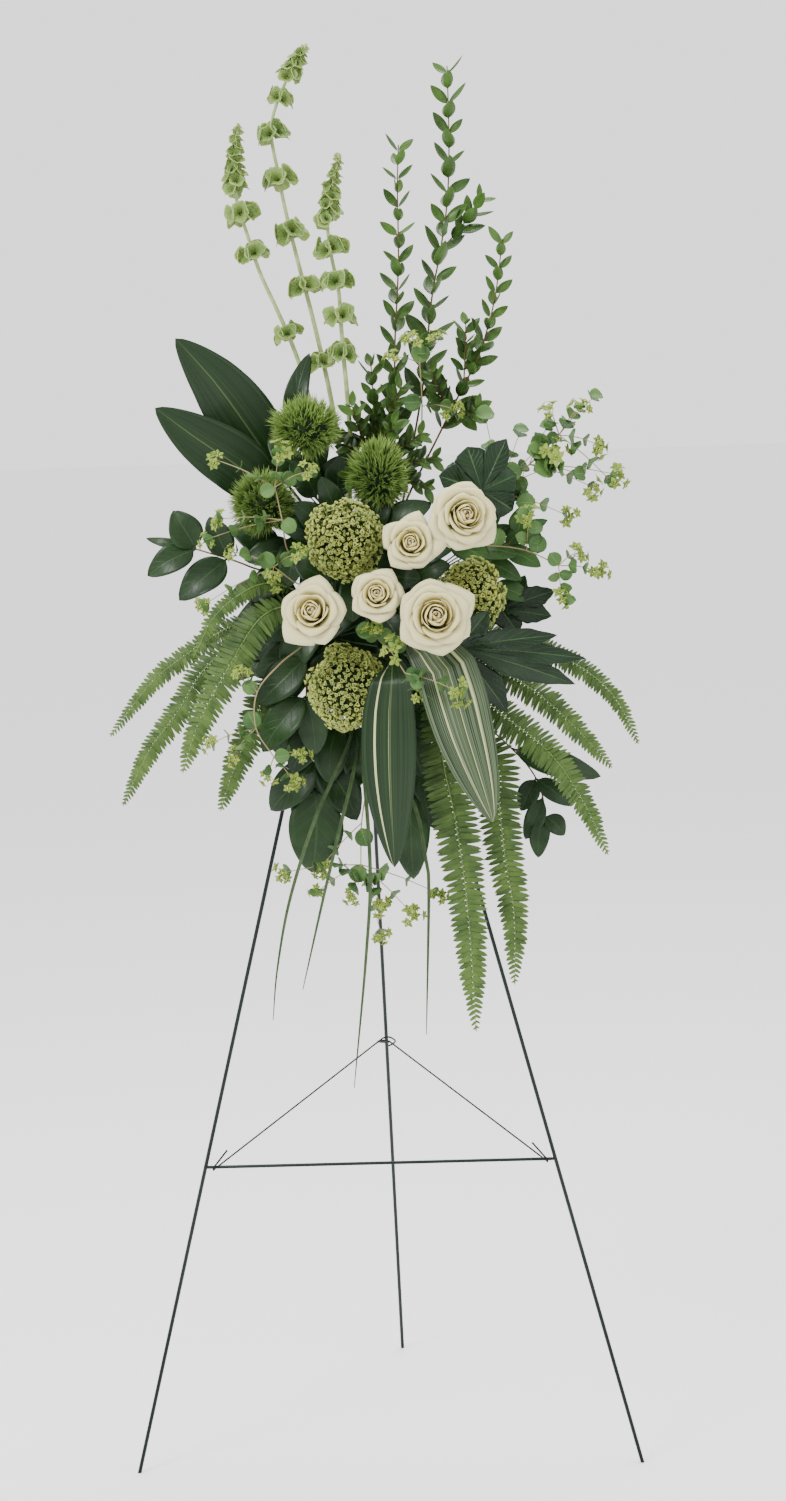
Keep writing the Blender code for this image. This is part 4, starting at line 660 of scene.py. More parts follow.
def straight_wire(name, start, end, radius, sides=20):
    """A wire from a cylinder primitive between two points, with its rims bevelled."""
    bpy.ops.object.select_all(action="DESELECT")
    middle = (start + end) / 2
    turn = (end - start).to_track_quat("Z", "X").to_euler()
    bpy.ops.mesh.primitive_cylinder_add(vertices=sides, radius=radius, depth=(end - start).length,
                                        location=middle, rotation=turn)
    made = bpy.context.object
    made.name = name
    edge = made.modifiers.new("rim", "BEVEL")
    edge.width = radius * 0.2
    edge.segments = 2
    edge.limit_method = "ANGLE"
    bpy.ops.object.modifier_apply(modifier=edge.name)
    bpy.ops.object.transform_apply(location=True, rotation=True, scale=True)
    bpy.ops.object.shade_smooth_by_angle(angle=math.radians(40))
    return made


def cut_flat(made):
    """Cut a leg off at the floor and fill the cut."""
    select_only(made)
    bpy.ops.object.mode_set(mode="EDIT")
    bpy.ops.mesh.select_all(action="SELECT")
    bpy.ops.mesh.bisect(plane_co=(0, 0, 0), plane_no=(0, 0, -1), use_fill=True, clear_outer=True)
    bpy.ops.object.mode_set(mode="OBJECT")


def wire_piece(made, node, material, body="easel"):
    made.data.materials.clear()
    made.data.materials.append(material)
    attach(made, body)
    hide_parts(node)
    "easel_green_paint" if material == leg_paint else "brace_dark_wire"


for node, side in (("front_leg_left", -1), ("front_leg_right", 1)):
    top = Vector((side * TOP_SPREAD, PIVOT.y, PIVOT.z))
    foot = Vector((side * foot_x, foot_y, 0))
    along = (top - foot).normalized()
    leg = straight_wire(node + "_wire", foot - along * (PAST_FLOOR / along.z),
                        top - along * (2 * LEG_RADIUS + GAP + LEG_RADIUS * abs(along.x)), LEG_RADIUS)
    cut_flat(leg)
    wire_piece(leg, node, leg_paint)
for node, low, high, radius in (("top_bar", bar_low, bar_high, LEG_RADIUS),
                                ("cross_bar", cross_low, cross_high, CROSS_RADIUS)):
    middle = (low + high) / 2
    ends = [Vector((x, middle.y, middle.z)) for x in (low.x, high.x)]
    wire_piece(straight_wire(node + "_wire", *ends, radius), node, leg_paint)
print("straight wires made; cross bar", round(cross_high.x - cross_low.x, 3), "m long")

# %% Bent wires: the back leg and the two braces
BACK_Y = 0.285
BRACE_RADIUS = 0.00115
BRACE_Z = 0.461
EYE_RADIUS = 2 * LEG_RADIUS + GAP
HOOK_INWARD = 0.010


def arc(centre, radius, start, end, count):
    """Points on an arc in the plane across X, with angles from +Y towards +Z."""
    return [centre + Vector((0, radius * math.cos(angle), radius * math.sin(angle)))
            for angle in np.linspace(start, end, count)]


back_foot = Vector((0, BACK_Y, 0))
slope = (math.atan2(PIVOT.z, BACK_Y - PIVOT.y)
         + math.asin(EYE_RADIUS / (PIVOT - back_foot).length))
leg_down = Vector((0, math.cos(slope), -math.sin(slope)))
eye_start = math.atan2(leg_down.y, -leg_down.z)
eye = arc(PIVOT, EYE_RADIUS, eye_start, eye_start + math.radians(290), 28)
leg_end = eye[0] + leg_down * (eye[0].z / -leg_down.z + PAST_FLOOR)
back_leg = stem_of("back_leg_wire", [leg_end] + eye, (LEG_RADIUS, LEG_RADIUS), leg_paint, 16)
cut_flat(back_leg)
wire_piece(back_leg, "back_leg", leg_paint, "back_leg")

brace_pivot = eye[0] + leg_down * ((BRACE_Z - eye[0].z) / leg_down.z)
hook_x = cross_high.x + LEG_RADIUS + CROSS_RADIUS * 0.3 + 2 * GAP - HOOK_INWARD


def brace_line(side, ring, tilt, far):
    """A hook under the cross bar, a straight arm, and a curl round the back leg."""
    forward = Vector((0, leg_down.z, -leg_down.y))
    upward = -leg_down
    bar = Vector((side * hook_x, cross_middle.y, cross_middle.z))
    start = brace_pivot + (forward * math.cos(tilt) + upward * math.sin(tilt)) * ring
    rise = math.atan2(start.z - bar.z, start.y - bar.y)
    hook = arc(bar, CROSS_RADIUS + BRACE_RADIUS + 0.0005, rise - math.pi / 2, -math.pi, 12)
    tail = hook[-1] + Vector((-side * 0.018, 0, 0.022))
    rear = brace_pivot * 2 - start
    close = rear + Vector((side * far, 0, 0)) + (brace_pivot - rear) * 0.15
    curl = smooth([start + Vector((side * 0.004, 0, 0)) + forward * 0.0022,
                   start + Vector((-side * 0.0045, 0, 0)), brace_pivot + Vector((-side * 0.0115, 0, 0)),
                   rear + Vector((-side * 0.0035, 0, 0)), close], 36)
    return [tail] + list(reversed(hook)) + curl


for node, side, ring, tilt, far in (("brace_wire_left", -1, 0.0135, 52, 0.001),
                                    ("brace_wire_right", 1, 0.0100, 35, 0.003)):
    brace = stem_of(node + "_bent", brace_line(side, ring, math.radians(tilt), far),
                    (BRACE_RADIUS, BRACE_RADIUS), brace_paint, 12)
    wire_piece(brace, node, brace_paint, "brace")

# %% Weld beads
# The beads are flattened spheres where a leg meets the top bar or the cross bar.
bead_places = [Vector((side * TOP_SPREAD, PIVOT.y, PIVOT.z - LEG_RADIUS * 1.2)) for side in (-1, 1)]
bead_places += [Vector((side * (cross_high.x + 0.0006), cross_middle.y, cross_middle.z)) for side in (-1, 1)]
beads = []
for place in bead_places:
    bpy.ops.object.select_all(action="DESELECT")
    bpy.ops.mesh.primitive_uv_sphere_add(segments=16, ring_count=10, radius=LEG_RADIUS * 0.95, location=place,
                                         scale=(1.2, 1.0, 0.8))
    bpy.ops.object.shade_smooth()
    beads.append(bpy.context.object)
weld_beads = joined("weld_beads", beads)
weld_beads.data.materials.append(leg_paint)
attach(weld_beads, "easel")

# %% [markdown]
# ## Foam and cage
# The foam and its cage have the right shape already, and they hardly show behind the flowers, so they keep
# their solids and only take a paint.

# %% Foam and cage
for node, material in (("foam_block", wet_foam), ("foam_cage", cage_plastic)):
    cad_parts[node].material_slots[0].material = material
print("foam and cage painted")

# %% [markdown]
# ## Bells of Ireland
# Each stem carries whorls of green calyces like shells, crowded together towards the tip. One calyx is a
# funnel from a closed grid with a wavy, flared rim, solidified. A whorl has six of them round the stem,
# tilted up, and the tip has smaller ones in a spiral.

# %% Bell unit
CALYX = 0.0205
WHORL = 6
BELL_STEPS = 12
SPIRAL = 2.4


def calyx_shape(u, v):
    turn = math.pi * u
    flare = 0.0016 + 0.0092 * v ** 1.35 + 0.0022 * max(0.0, v - 0.75) / 0.25
    ripple = 1 + 0.15 * math.cos(2 * turn) + 0.10 * math.cos(5 * turn + 1) * v
    lip = -0.0022 * max(0.0, v - 0.80) / 0.20 + 0.0013 * math.cos(2 * turn) * v
    return (flare * ripple * math.cos(turn), CALYX * (v ** 0.9) * 0.86 + lip, flare * ripple * math.sin(turn))


calyx = sheet_of("calyx", 18, 6, calyx_shape, 0.0005, bell_calyx, closed=True)
print("calyx", len(calyx.data.polygons), "faces")


def calyx_at(base, direction, size, turn, shade):
    along, side, normal = leaf_frame(direction, UP if abs(direction.normalized().z) < 0.9 else FRONT)
    spun = Matrix.Rotation(turn, 3, along)
    return copy_of(calyx, place_of(base, along, spun @ side, spun @ normal, (size, size, size)), shade)


def bells(node, place, points, whorls, top_cups, seed):
    """whorls are shares of the stem's length with a size; top_cups are two shares and a count."""
    draw = random.Random(seed)
    line = stem_line(place, seen_route(points), BELL_STEPS + 1)
    pieces = [main_stem(node, line, 60, (0.0034, 0.0017), pale_stem, 10)]
    travel = directions(line)
    for share, size in whorls:
        spot = share * BELL_STEPS
        centre, along = point_at(line, spot), travel[min(int(spot), BELL_STEPS - 1)]
        side = any_normal(along)
        start = draw.uniform(0, math.tau)
        for copy in range(WHORL):
            turn = Matrix.Rotation(start + math.tau * copy / WHORL + draw.uniform(-0.12, 0.12), 3, along)
            out = (turn @ side + along * draw.uniform(0.20, 0.60)).normalized()
            base = centre + turn @ side * 0.0022 + along * draw.uniform(-0.003, 0.003)
            pieces.append(calyx_at(base, out, size * draw.uniform(0.85, 1.03), draw.uniform(0, math.tau),
                                   draw.uniform(0, 1)))
    low, high, count = top_cups
    for copy in range(count):
        spot = (low + (high - low) * copy / (count - 1)) * BELL_STEPS
        centre, along = point_at(line, spot), travel[min(int(spot), BELL_STEPS - 1)]
        turn = Matrix.Rotation(copy * SPIRAL, 3, along)
        rise = 0.5 + 0.9 * copy / count
        out = (turn @ any_normal(along) + along * rise).normalized()
        size = (0.85 - 0.50 * copy / count) * draw.uniform(0.9, 1.1)
        pieces.append(calyx_at(centre, out, size, draw.uniform(0, math.tau), draw.uniform(0.3, 1)))
    plant(node, pieces)


bells("bells_of_ireland_left", ("top", 1, 3),
      ((-51, 1313, -75), (-71, 1383, -85), (-103, 1461, -100), (-122, 1532, -105),
       (-129, 1563, -105), (-120, 1632, -105)),
      ((0.515, 0.85), (0.705, 1.0), (0.795, 1.0)), (0.845, 0.985, 27), 11)
bells("bells_of_ireland_middle", ("top", 2, 3),
      ((-24, 1308, -60), (-46, 1423, -65), (-63, 1499, -70), (-76, 1575, -72),
       (-81, 1631, -75), (-66, 1670, -78), (-36, 1720, -80)),
      ((0.385, 0.9), (0.525, 1.0), (0.63, 1.05), (0.73, 1.0), (0.815, 0.95), (0.885, 0.8)),
      (0.925, 0.985, 18), 12)
bells("bells_of_ireland_right", ("top", 2, 2),
      ((-3, 1240, -85), (-4, 1301, -110), (-8, 1376, -120), (-10, 1436, -125),
       (-20, 1510, -130), (-3, 1592, -130)),
      ((0.505, 0.9), (0.60, 0.95), (0.685, 1.0), (0.765, 1.0)), (0.825, 0.985, 27), 13)
remove(calyx)
print_counts("bells")

# %% [markdown]
# ## Leaves
# A leaf of an even outline is a grid bent along its length and cupped across it. The outline, the bend and
# the cup are rules of u and v. Small leaves are made once at unit length and scaled, while large ones are
# each made along their own line, so that their curve follows the plant.

# %% Leaf units


def leaf_rule(width, tip_power, base_power, cup, arch, ripple=0.0):
    """A leaf one unit long, with its width, how pointed its ends are, its cup, arch and edge ripple."""
    def rule(u, v):
        half = width / 2 * max(0.0, math.sin(math.pi * v ** base_power)) ** tip_power
        wave = ripple * u * u * math.sin(v * 17 + u)
        return (half * u, v, cup * half * u * u + arch * math.sin(math.pi * v) + wave)
    return rule


def leaf_at(unit, base, direction, face, length, shade, width=1.0):
    along, side, normal = leaf_frame(direction, face)
    return copy_of(unit, place_of(base, along, side, normal, (length * width, length, length)), shade)


# %% Myrtle
# Myrtle bears pairs of small pointed leaves, each pair across the last, on a thin reddish stem.
myrtle_unit = sheet_of("myrtle_leaf", 4, 8, leaf_rule(0.50, 0.75, 0.85, 0.30, -0.07), 0.012, myrtle_leaf)


def twig_leaves(line, low, high, pairs, leaf_length, seed, radius):
    """Pairs of leaves from one share of a twig's length to another, smaller towards its end."""
    draw = random.Random(seed)
    travel = directions(line)
    total = len(line) - 1
    made = []
    normal = any_normal(travel[0])
    for pair in range(pairs):
        share = low + (high - low) * pair / (pairs - 1)
        along = point_at(travel, share * total).normalized()
        centre = point_at(line, share * total)
        normal = (normal - along * normal.dot(along)).normalized()
        other = along.cross(normal)
        turn = pair * math.pi / 2 + draw.uniform(-0.35, 0.35)
        for way in (0, math.pi):
            out = normal * math.cos(turn + way) + other * math.sin(turn + way)
            growth = 1.12 - 0.42 * share
            direction = (out + along * draw.uniform(0.75, 1.50)).normalized()
            base = centre + out * (radius * 0.7)
            length = leaf_length * growth * draw.uniform(0.75, 1.1)
            face = (along + out * -0.4 + FRONT * draw.uniform(0.3, 1.4)).normalized()
            made.append(leaf_at(myrtle_unit, base, direction, face, length,
                                min(1.0, 0.10 + 0.75 * share * draw.uniform(0.3, 1.2))))
    return made


def myrtle(node, place, trunk, leaf_range, pairs, leaf_length, seed, twigs=()):
    """Each side twig is its place on the trunk, its end, and half its number of leaf pairs."""
    line = stem_line(place, seen_route(trunk), 12)
    pieces = [main_stem(node, line, 50, (0.0015, 0.0007), woody_stem)]
    pieces += twig_leaves(line, *leaf_range, pairs, leaf_length / 1000, seed, 0.0015)
    for start, end, count in twigs:
        root = min(line, key=lambda point: (point - seen(*start)).length)
        twig = smooth([root, root.lerp(seen(*end), 0.5) + UP * -0.004, seen(*end)], 12)
        pieces.append(stem_of(node + "_twig", twig, (0.0010, 0.0006), woody_stem, 6))
        pieces += twig_leaves(twig, 0.25, 0.96, count * 2, leaf_length / 1000 * 0.85, seed + count, 0.0010)
    plant(node, pieces)


myrtle("myrtle_branch_tall", ("top", 5, 3),
       ((85, 1315, -60), (99, 1416, -60), (119, 1511, -60), (126, 1589, -60),
        (127, 1688, -60)), (0.34, 0.985), 23, 40, 21, (((119, 1500, -60), (162, 1535, -65), 3),))
myrtle("myrtle_branch_middle", ("top", 4, 3),
       ((49, 1282, -85), (55, 1378, -88), (62, 1463, -90), (64, 1552, -90),
        (67, 1600, -90)), (0.26, 0.985), 23, 34, 22)
myrtle("myrtle_branch_right", ("top", 5, 2),
       ((100, 1255, -95), (133, 1315, -105), (155, 1355, -110), (168, 1396, -115),
        (177, 1431, -115), (185, 1487, -115)), (0.40, 0.985), 17, 35, 23,
       (((133, 1320, -105), (139, 1392, -125), 3), ((120, 1290, -100), (96, 1335, -130), 3),
        ((110, 1270, -98), (150, 1290, -130), 3)))
myrtle("myrtle_branch_short", ("top", 3, 3),
       ((22, 1250, -85), (26, 1290, -100), (25, 1350, -98)), (0.40, 0.97), 12, 35, 24,
       (((22, 1250, -85), (60, 1318, -120), 4), ((22, 1250, -85), (50, 1275, -135), 3),
        ((22, 1240, -85), (0, 1300, -130), 3), ((22, 1235, -85), (-18, 1262, -135), 3),
        ((22, 1235, -85), (82, 1262, -140), 4), ((22, 1230, -85), (98, 1232, -150), 4),
        ((22, 1228, -85), (88, 1198, -165), 4), ((22, 1225, -85), (-5, 1215, -165), 4)))
remove(myrtle_unit)
print_counts("myrtle")

# %% [markdown]
# ## Broad leaves
# Salal, ruscus and the light leaves at the right are oval leaves on branches. Each leaf is a grid laid from
# its base to its tip, arched and cupped, with a slight ripple and a short stalk.

# %% Branches of broad leaves
LEAF_FACE = Vector((0, -1, 0.4))
STALK_SHARE = 0.07


def oval_leaf(name, base, tip, width, material, draw):
    """A leaf with a short stalk, from its base to its tip."""
    width = width / 1000
    length = (tip - base).length
    along, side, normal = leaf_frame(tip - base, LEAF_FACE)
    bow = draw.uniform(-0.05, 0.05) * length
    ripple = draw.uniform(0.010, 0.022) * length
    phase = draw.uniform(0, 6)
    roll = draw.uniform(-0.10, 0.10)

    def rule(u, v):
        if v < STALK_SHARE:
            half = 0.0007 + 0.02 * width * (v / STALK_SHARE)
        else:
            share = (v - STALK_SHARE) / (1 - STALK_SHARE)
            outline = max(0.0, math.sin(math.pi * share ** 0.80)) ** 0.62
            half = max(0.0003, width / 2 * outline * (1 - 0.10 * share))
        lift = (0.10 * length * math.sin(math.pi * v) + 0.16 * half * u * u + roll * half * u
                + ripple * u * u * math.sin(9 * v + phase) + 0.04 * length * max(0.0, v - 0.7) / -0.3)
        return base + along * (length * v) + side * (half * u + bow * math.sin(math.pi * v)) + normal * lift

    made = sheet_of(name, 8, 18, rule, 0.0005, material)
    shade_mesh(made.data, draw.uniform(0, 0.8))
    return made


def leafy_branch(node, place, trunk, leaves, extra=(), material=salal_leaf):
    """Each leaf is the number of its trunk point, its tip and its width.

    extra lists further leaves that fill the heart of the spray: their foot, tip and width."""
    draw = random.Random(len(node) * 7 + len(leaves))
    knots = seen_route(trunk)
    line = stem_line(place, knots, 3 + 2 * len(trunk))
    pieces = [main_stem(node, line, 30, (0.0014, 0.0009), woody_stem)]
    for number, tip, width in leaves:
        step = min(range(1, len(line)), key=lambda spot: (line[spot] - knots[number]).length)
        start = line[step].lerp(line[step - 1], 0.12)
        pieces.append(oval_leaf(node + "_leaf", start, seen(*tip), width, material, draw))
    for foot, tip, width in extra:
        start = seen(*foot)
        shoot = smooth([line[1], line[1].lerp(start, 0.5) + FRONT * 0.006, start], 10)
        pieces.append(stem_of(node + "_shoot", shoot, (0.0010, 0.0008), green_stem, 6))
        pieces.append(oval_leaf(node + "_leaf", start, seen(*tip), width, material, draw))
    plant(node, pieces)


leafy_branch("salal_left", ("left", 2, 2),
             ((-110, 1105, -85), (-150, 1120, -110), (-195, 1135, -120)),
             ((2, (-218, 1181, -125), 42), (2, (-253, 1105, -130), 36),
              (1, (-216, 1075, -135), 44), (1, (-175, 1172, -112), 36),
              (2, (-252, 1150, -115), 14)),
             (((-90, 1130, -120), (-150, 1160, -135), 40), ((-80, 1110, -130), (-130, 1070, -150), 42),
              ((-75, 1150, -110), (-105, 1215, -120), 40), ((-70, 1130, -135), (-135, 1120, -150), 40),
              ((-70, 1080, -120), (-150, 1085, -135), 42), ((-70, 1060, -120), (-150, 1045, -130), 44),
              ((-70, 1040, -120), (-140, 1000, -130), 44), ((-60, 1020, -115), (-165, 975, -125), 42),
              ((-65, 1165, -125), (-150, 1205, -120), 36), ((-60, 1150, -140), (-85, 1085, -165), 40)))
leafy_branch("salal_centre", ("front", 1, 6),
             ((-50, 1027, -160), (-64, 1004, -170), (-68, 952, -174)),
             ((1, (-126, 944, -184), 45), (2, (-124, 887, -182), 45),
              (2, (-60, 880, -165), 38), (0, (-6, 1048, -172), 36)),
             (((-55, 1060, -158), (-115, 1020, -165), 42), ((-45, 1045, -160), (-95, 975, -168), 44),
              ((-30, 1090, -165), (-75, 1115, -175), 38), ((0, 1100, -165), (-10, 1040, -185), 40),
              ((30, 1095, -165), (75, 1090, -185), 40), ((25, 1050, -168), (55, 1000, -185), 42),
              ((60, 1090, -165), (110, 1105, -190), 38), ((60, 1110, -160), (118, 1130, -180), 36),
              ((-30, 1150, -150), (-75, 1185, -170), 36), ((-40, 1140, -155), (-92, 1160, -175), 36),
              ((-20, 1160, -150), (-40, 1215, -165), 34),
              ((30, 1140, -160), (90, 1180, -170), 40), ((10, 1150, -155), (40, 1195, -160), 38),
              ((-20, 1010, -165), (-60, 945, -158), 46), ((0, 1000, -165), (20, 925, -160), 46),
              ((20, 1010, -165), (68, 935, -165), 42), ((45, 1040, -168), (105, 1030, -180), 36),
              ((-50, 1020, -150), (-130, 980, -148), 40), ((-55, 1000, -145), (-120, 930, -140), 44)))
leafy_branch("salal_bottom_left", ("bottom", 1, 3),
             ((-40, 900, -105), (-60, 870, -118), (-62, 840, -120)),
             ((2, (-70, 736, -118), 70), (1, (-12, 800, -128), 50),
              (1, (-118, 815, -112), 50), (0, (-112, 890, -100), 45)),
             (((-40, 930, -110), (-90, 860, -125), 48), ((-30, 920, -115), (-45, 845, -135), 46),
              ((-10, 920, -110), (-10, 840, -120), 44), ((-35, 880, -108), (-85, 780, -112), 50)))
leafy_branch("salal_bottom_right", ("bottom", 4, 3), ((40, 895, -100), (55, 850, -112)),
             ((1, (53, 724, -112), 50), (1, (105, 780, -105), 42),
              (0, (95, 860, -95), 40)),
             (((30, 930, -110), (70, 850, -120), 48), ((50, 940, -110), (120, 880, -118), 46),
              ((60, 960, -120), (140, 930, -130), 44), ((45, 900, -105), (85, 800, -110), 44)))
leafy_branch("salal_right", ("right", 7, 3),
             ((120, 940, -92), (185, 873, -110), (205, 845, -112), (214, 815, -112),
              (214, 795, -112)),
             ((2, (186, 805, -118), 28), (2, (248, 810, -115), 26),
              (3, (190, 770, -108), 26), (4, (205, 747, -115), 26),
              (4, (238, 774, -112), 26), (1, (284, 845, -105), 36)))
leafy_branch("ruscus_leaf_behind", ("top", 1, 1), ((-60, 1210, -110), (-70, 1260, -115)),
             ((1, (-48, 1362, -108), 30),),
             (((-60, 1200, -115), (-100, 1262, -125), 36), ((-50, 1215, -110), (-30, 1285, -130), 34),
              ((-40, 1195, -120), (5, 1240, -135), 36), ((-45, 1190, -125), (-75, 1235, -140), 38),
              ((-20, 1190, -125), (-15, 1240, -145), 36)))
leafy_branch("light_leaves_right", ("right", 3, 2),
             ((120, 1095, -120), (170, 1120, -145), (195, 1140, -150)),
             ((2, (200, 1172, -155), 28), (2, (222, 1132, -150), 26),
              (1, (219, 1100, -155), 26), (0, (180, 1092, -130), 26)),
             (((110, 1130, -150), (160, 1105, -165), 32), ((120, 1110, -140), (165, 1070, -150), 32),
              ((110, 1150, -140), (140, 1205, -150), 32), ((130, 1120, -130), (185, 1150, -140), 30),
              ((150, 1110, -140), (195, 1085, -150), 26), ((140, 1120, -150), (190, 1115, -165), 28),
              ((150, 1140, -140), (175, 1180, -150), 26), ((175, 1125, -145), (228, 1155, -150), 22),
              ((160, 1080, -140), (205, 1060, -145), 26)), fresh_leaf)

# %% [markdown]
# ## Aspidistra leaves
# Each is a long strap on a stalk, with fine ribs along it and, on the two low ones, stripes of cream. The
# grid follows the same line as its plain solid, and its half width comes from that line's own rule.

# %% Strap leaves
STRAP_STEPS = 10
STRAP_STALK = 0.0017


def strap_leaf(node, place, points, width, face, material, seed):
    """A blade whose lowest three tenths are its stalk."""
    line = stem_line(place, seen_route(points), STRAP_STEPS + 1)
    travel = directions(line)
    phase = seed * 1.7
    width = width / 1000

    def rule(u, v):
        point = point_at(line, v * STRAP_STEPS)
        _, side, normal = leaf_frame(point_at(travel, v * STRAP_STEPS), Vector(face))
        share = (v - 0.30) / 0.70
        half = STRAP_STALK
        if share > 0:
            outline = max(0.0, math.sin(math.pi * share ** 0.8)) ** 0.7
            half = max(STRAP_STALK * (1 - v), width / 2 * outline)
        fold = 0.20 * half * abs(u) ** 1.6
        wave = 0.045 * half * u * math.sin(11 * v + phase)
        return point + side * (half * u) + normal * (fold + wave)

    fine = sheet_of(node + "_blade", 16, 48, rule, 0.0006, material)
    plant(node, [fine])


strap_leaf("aspidistra_leaf_upper", ("top", 0, 3),
           ((-75, 1200, -65), (-120, 1270, -90), (-160, 1330, -110), (-206, 1385, -120)),
           78, (-0.1, -1, 0.5), strap_dark, 1)
strap_leaf("aspidistra_leaf_left", ("top", 0, 2),
           ((-85, 1180, -90), (-130, 1225, -115), (-185, 1265, -130), (-234, 1304, -140)),
           72, (-0.1, -1, 0.5), strap_dark, 2)
strap_leaf("aspidistra_leaf_low_left", ("front", 3, 7),
           ((40, 990, -215), (34, 955, -240), (30, 850, -238), (31, 740, -220)),
           66, (-0.2, -1, 0.1), strap_lined, 3)
strap_leaf("aspidistra_leaf_low_right", ("front", 4, 6),
           ((78, 1006, -232), (98, 984, -256), (120, 900, -262), (152, 792, -245)),
           78, (0.35, -1, 0.3), strap_striped, 4)
print_counts("aspidistra")

# %% [markdown]
# ## Hand-shaped leaves
# An aralia leaf has a pointed lobe to each tip, with deep cuts between them, and ivy has shallow ones. Each
# lobe is its own grid from the heart of the leaf to its tip, with a pale rib along it. Up to the cut its
# edge is the line from the heart to the cut, which its neighbour shares, so that the lobes close into one
# leaf.

# %% Aralia and ivy


def palmate_leaf(node, place, trunk, centre, tips, face, bulge, sinus, seed):
    """A lobe to each tip. The cuts between them reach out to sinus, a share of the shorter lobe."""
    draw = random.Random(seed)
    bulge = bulge / 1000
    middle = seen(*centre)
    line = stem_line(place, seen_route(trunk) + [middle], 6)
    pieces = [main_stem(node, line, 24, (0.0016, 0.0012), green_stem)]
    normal = Vector(face).normalized()
    outs = [seen(*tip) - middle for tip in tips]
    turns = [one.cross(other).dot(normal) for one, other in zip(outs, outs[1:] + outs[:1])]
    way = math.copysign(1, sum(math.copysign(1, turn) for turn in turns))
    cuts = []
    for one, other, turn in zip(outs, outs[1:] + outs[:1], turns):
        between = (one.normalized() + other.normalized()).normalized() * math.copysign(1, turn * way)
        cuts.append(between * (sinus * min(one.length, other.length)))
    for number, out in enumerate(outs):
        side = out.cross(normal).normalized()
        rise = side.cross(out).normalized()
        pair = (cuts[number - 1], cuts[number])
        left, right = pair if pair[0].dot(side) < pair[1].dot(side) else pair[::-1]
        phase = draw.uniform(0, 6)
        length = out.length
        split = max(0.12, min(sinus, (left.dot(out) + right.dot(out)) / 2 / out.length_squared))

        def rule(u, v, out=out, side=side, rise=rise, left=left, right=right, phase=phase, length=length,
                 split=split):
            cut, way_out = (left, -1) if u < 0 else (right, 1)
            spine = out * v
            if v <= split:
                edge = cut * (v / split)
            else:
                t = (v - split) / (1 - split)
                wave = 0.0007 * math.sin(24 * t + phase) * math.sin(math.pi * t)
                swell = bulge * math.sin(math.pi * t ** 0.85) ** 0.9
                edge = cut.lerp(out, t) + side * (way_out * (swell + wave))
            wide = (edge - spine).length
            fold = 0.16 * wide * abs(u) * min(1.0, v / split) + 0.06 * wide * math.sin(12 * v + phase) * u * u
            sag = 0.03 * length * math.sin(math.pi * v) - 0.05 * length * v * v
            return middle + spine.lerp(edge, abs(u)) + rise * (fold + sag)

        lobe = sheet_of(node + "_lobe", 10, 26, rule, 0.0005, hand_leaf)
        shade_mesh(lobe.data, draw.uniform(0.0, 0.5))
        pieces.append(lobe)
    plant(node, pieces)


palmate_leaf("aralia_leaf_large", ("front", 5, 5), ((95, 1022, -190),), (118, 1006, -217),
             ((154, 1048, -246), (236, 1018, -222), (271, 989, -205), (258, 958, -200),
              (175, 925, -215), (110, 930, -220), (58, 944, -218), (66, 990, -215)),
             (0.15, -1, 0.35), 8.5, 0.46, 1)
palmate_leaf("aralia_leaf_small", ("right", 4, 2), ((110, 1052, -120), (150, 1050, -140)),
             (170, 1050, -145),
             ((200, 1090, -140), (235, 1071, -145), (230, 1040, -150), (190, 1020, -155)),
             (0.1, -1, 0.3), 9, 0.50, 2)
palmate_leaf("ivy_leaf", ("front", 5, 0), ((85, 1150, -165),), (152, 1192, -175),
             ((101, 1212, -180), (136, 1245, -172), (183, 1253, -168), (193, 1210, -170),
              (188, 1168, -175), (150, 1150, -180)),
             (0.1, -1, 0.25), 5, 0.84, 3)
print_counts("aralia", "ivy")

# %% [markdown]
# ## Sword ferns
# A frond is a rib with dense pairs of narrow leaflets, shorter towards its tip. One leaflet is a small grid
# with a toothed edge and an ear at its foot. It is copied on both sides of the rib, with its size from the
# frond's own outline, and each leaflet droops a little in its own way.

# %% Fern fronds


def leaflet_shape(u, v):
    half = 0.105 * max(0.0, math.sin(math.pi * min(1, 0.14 + 0.86 * v) ** 0.90)) ** 0.45
    ear = 0.050 * math.exp(-((v - 0.11) / 0.07) ** 2) if u > 0 else 0
    tooth = 1 + 0.06 * math.sin(v * 44) * abs(u)
    return ((half + ear) * u * tooth, v, 0.20 * half * u * u - 0.10 * v * v)


leaflet = sheet_of("leaflet", 4, 6, leaflet_shape, 0.014, fern_leaf)
mirrored_leaflet = sheet_of("leaflet_left", 4, 6, lambda u, v: leaflet_shape(-u, v), 0.014, fern_leaf)


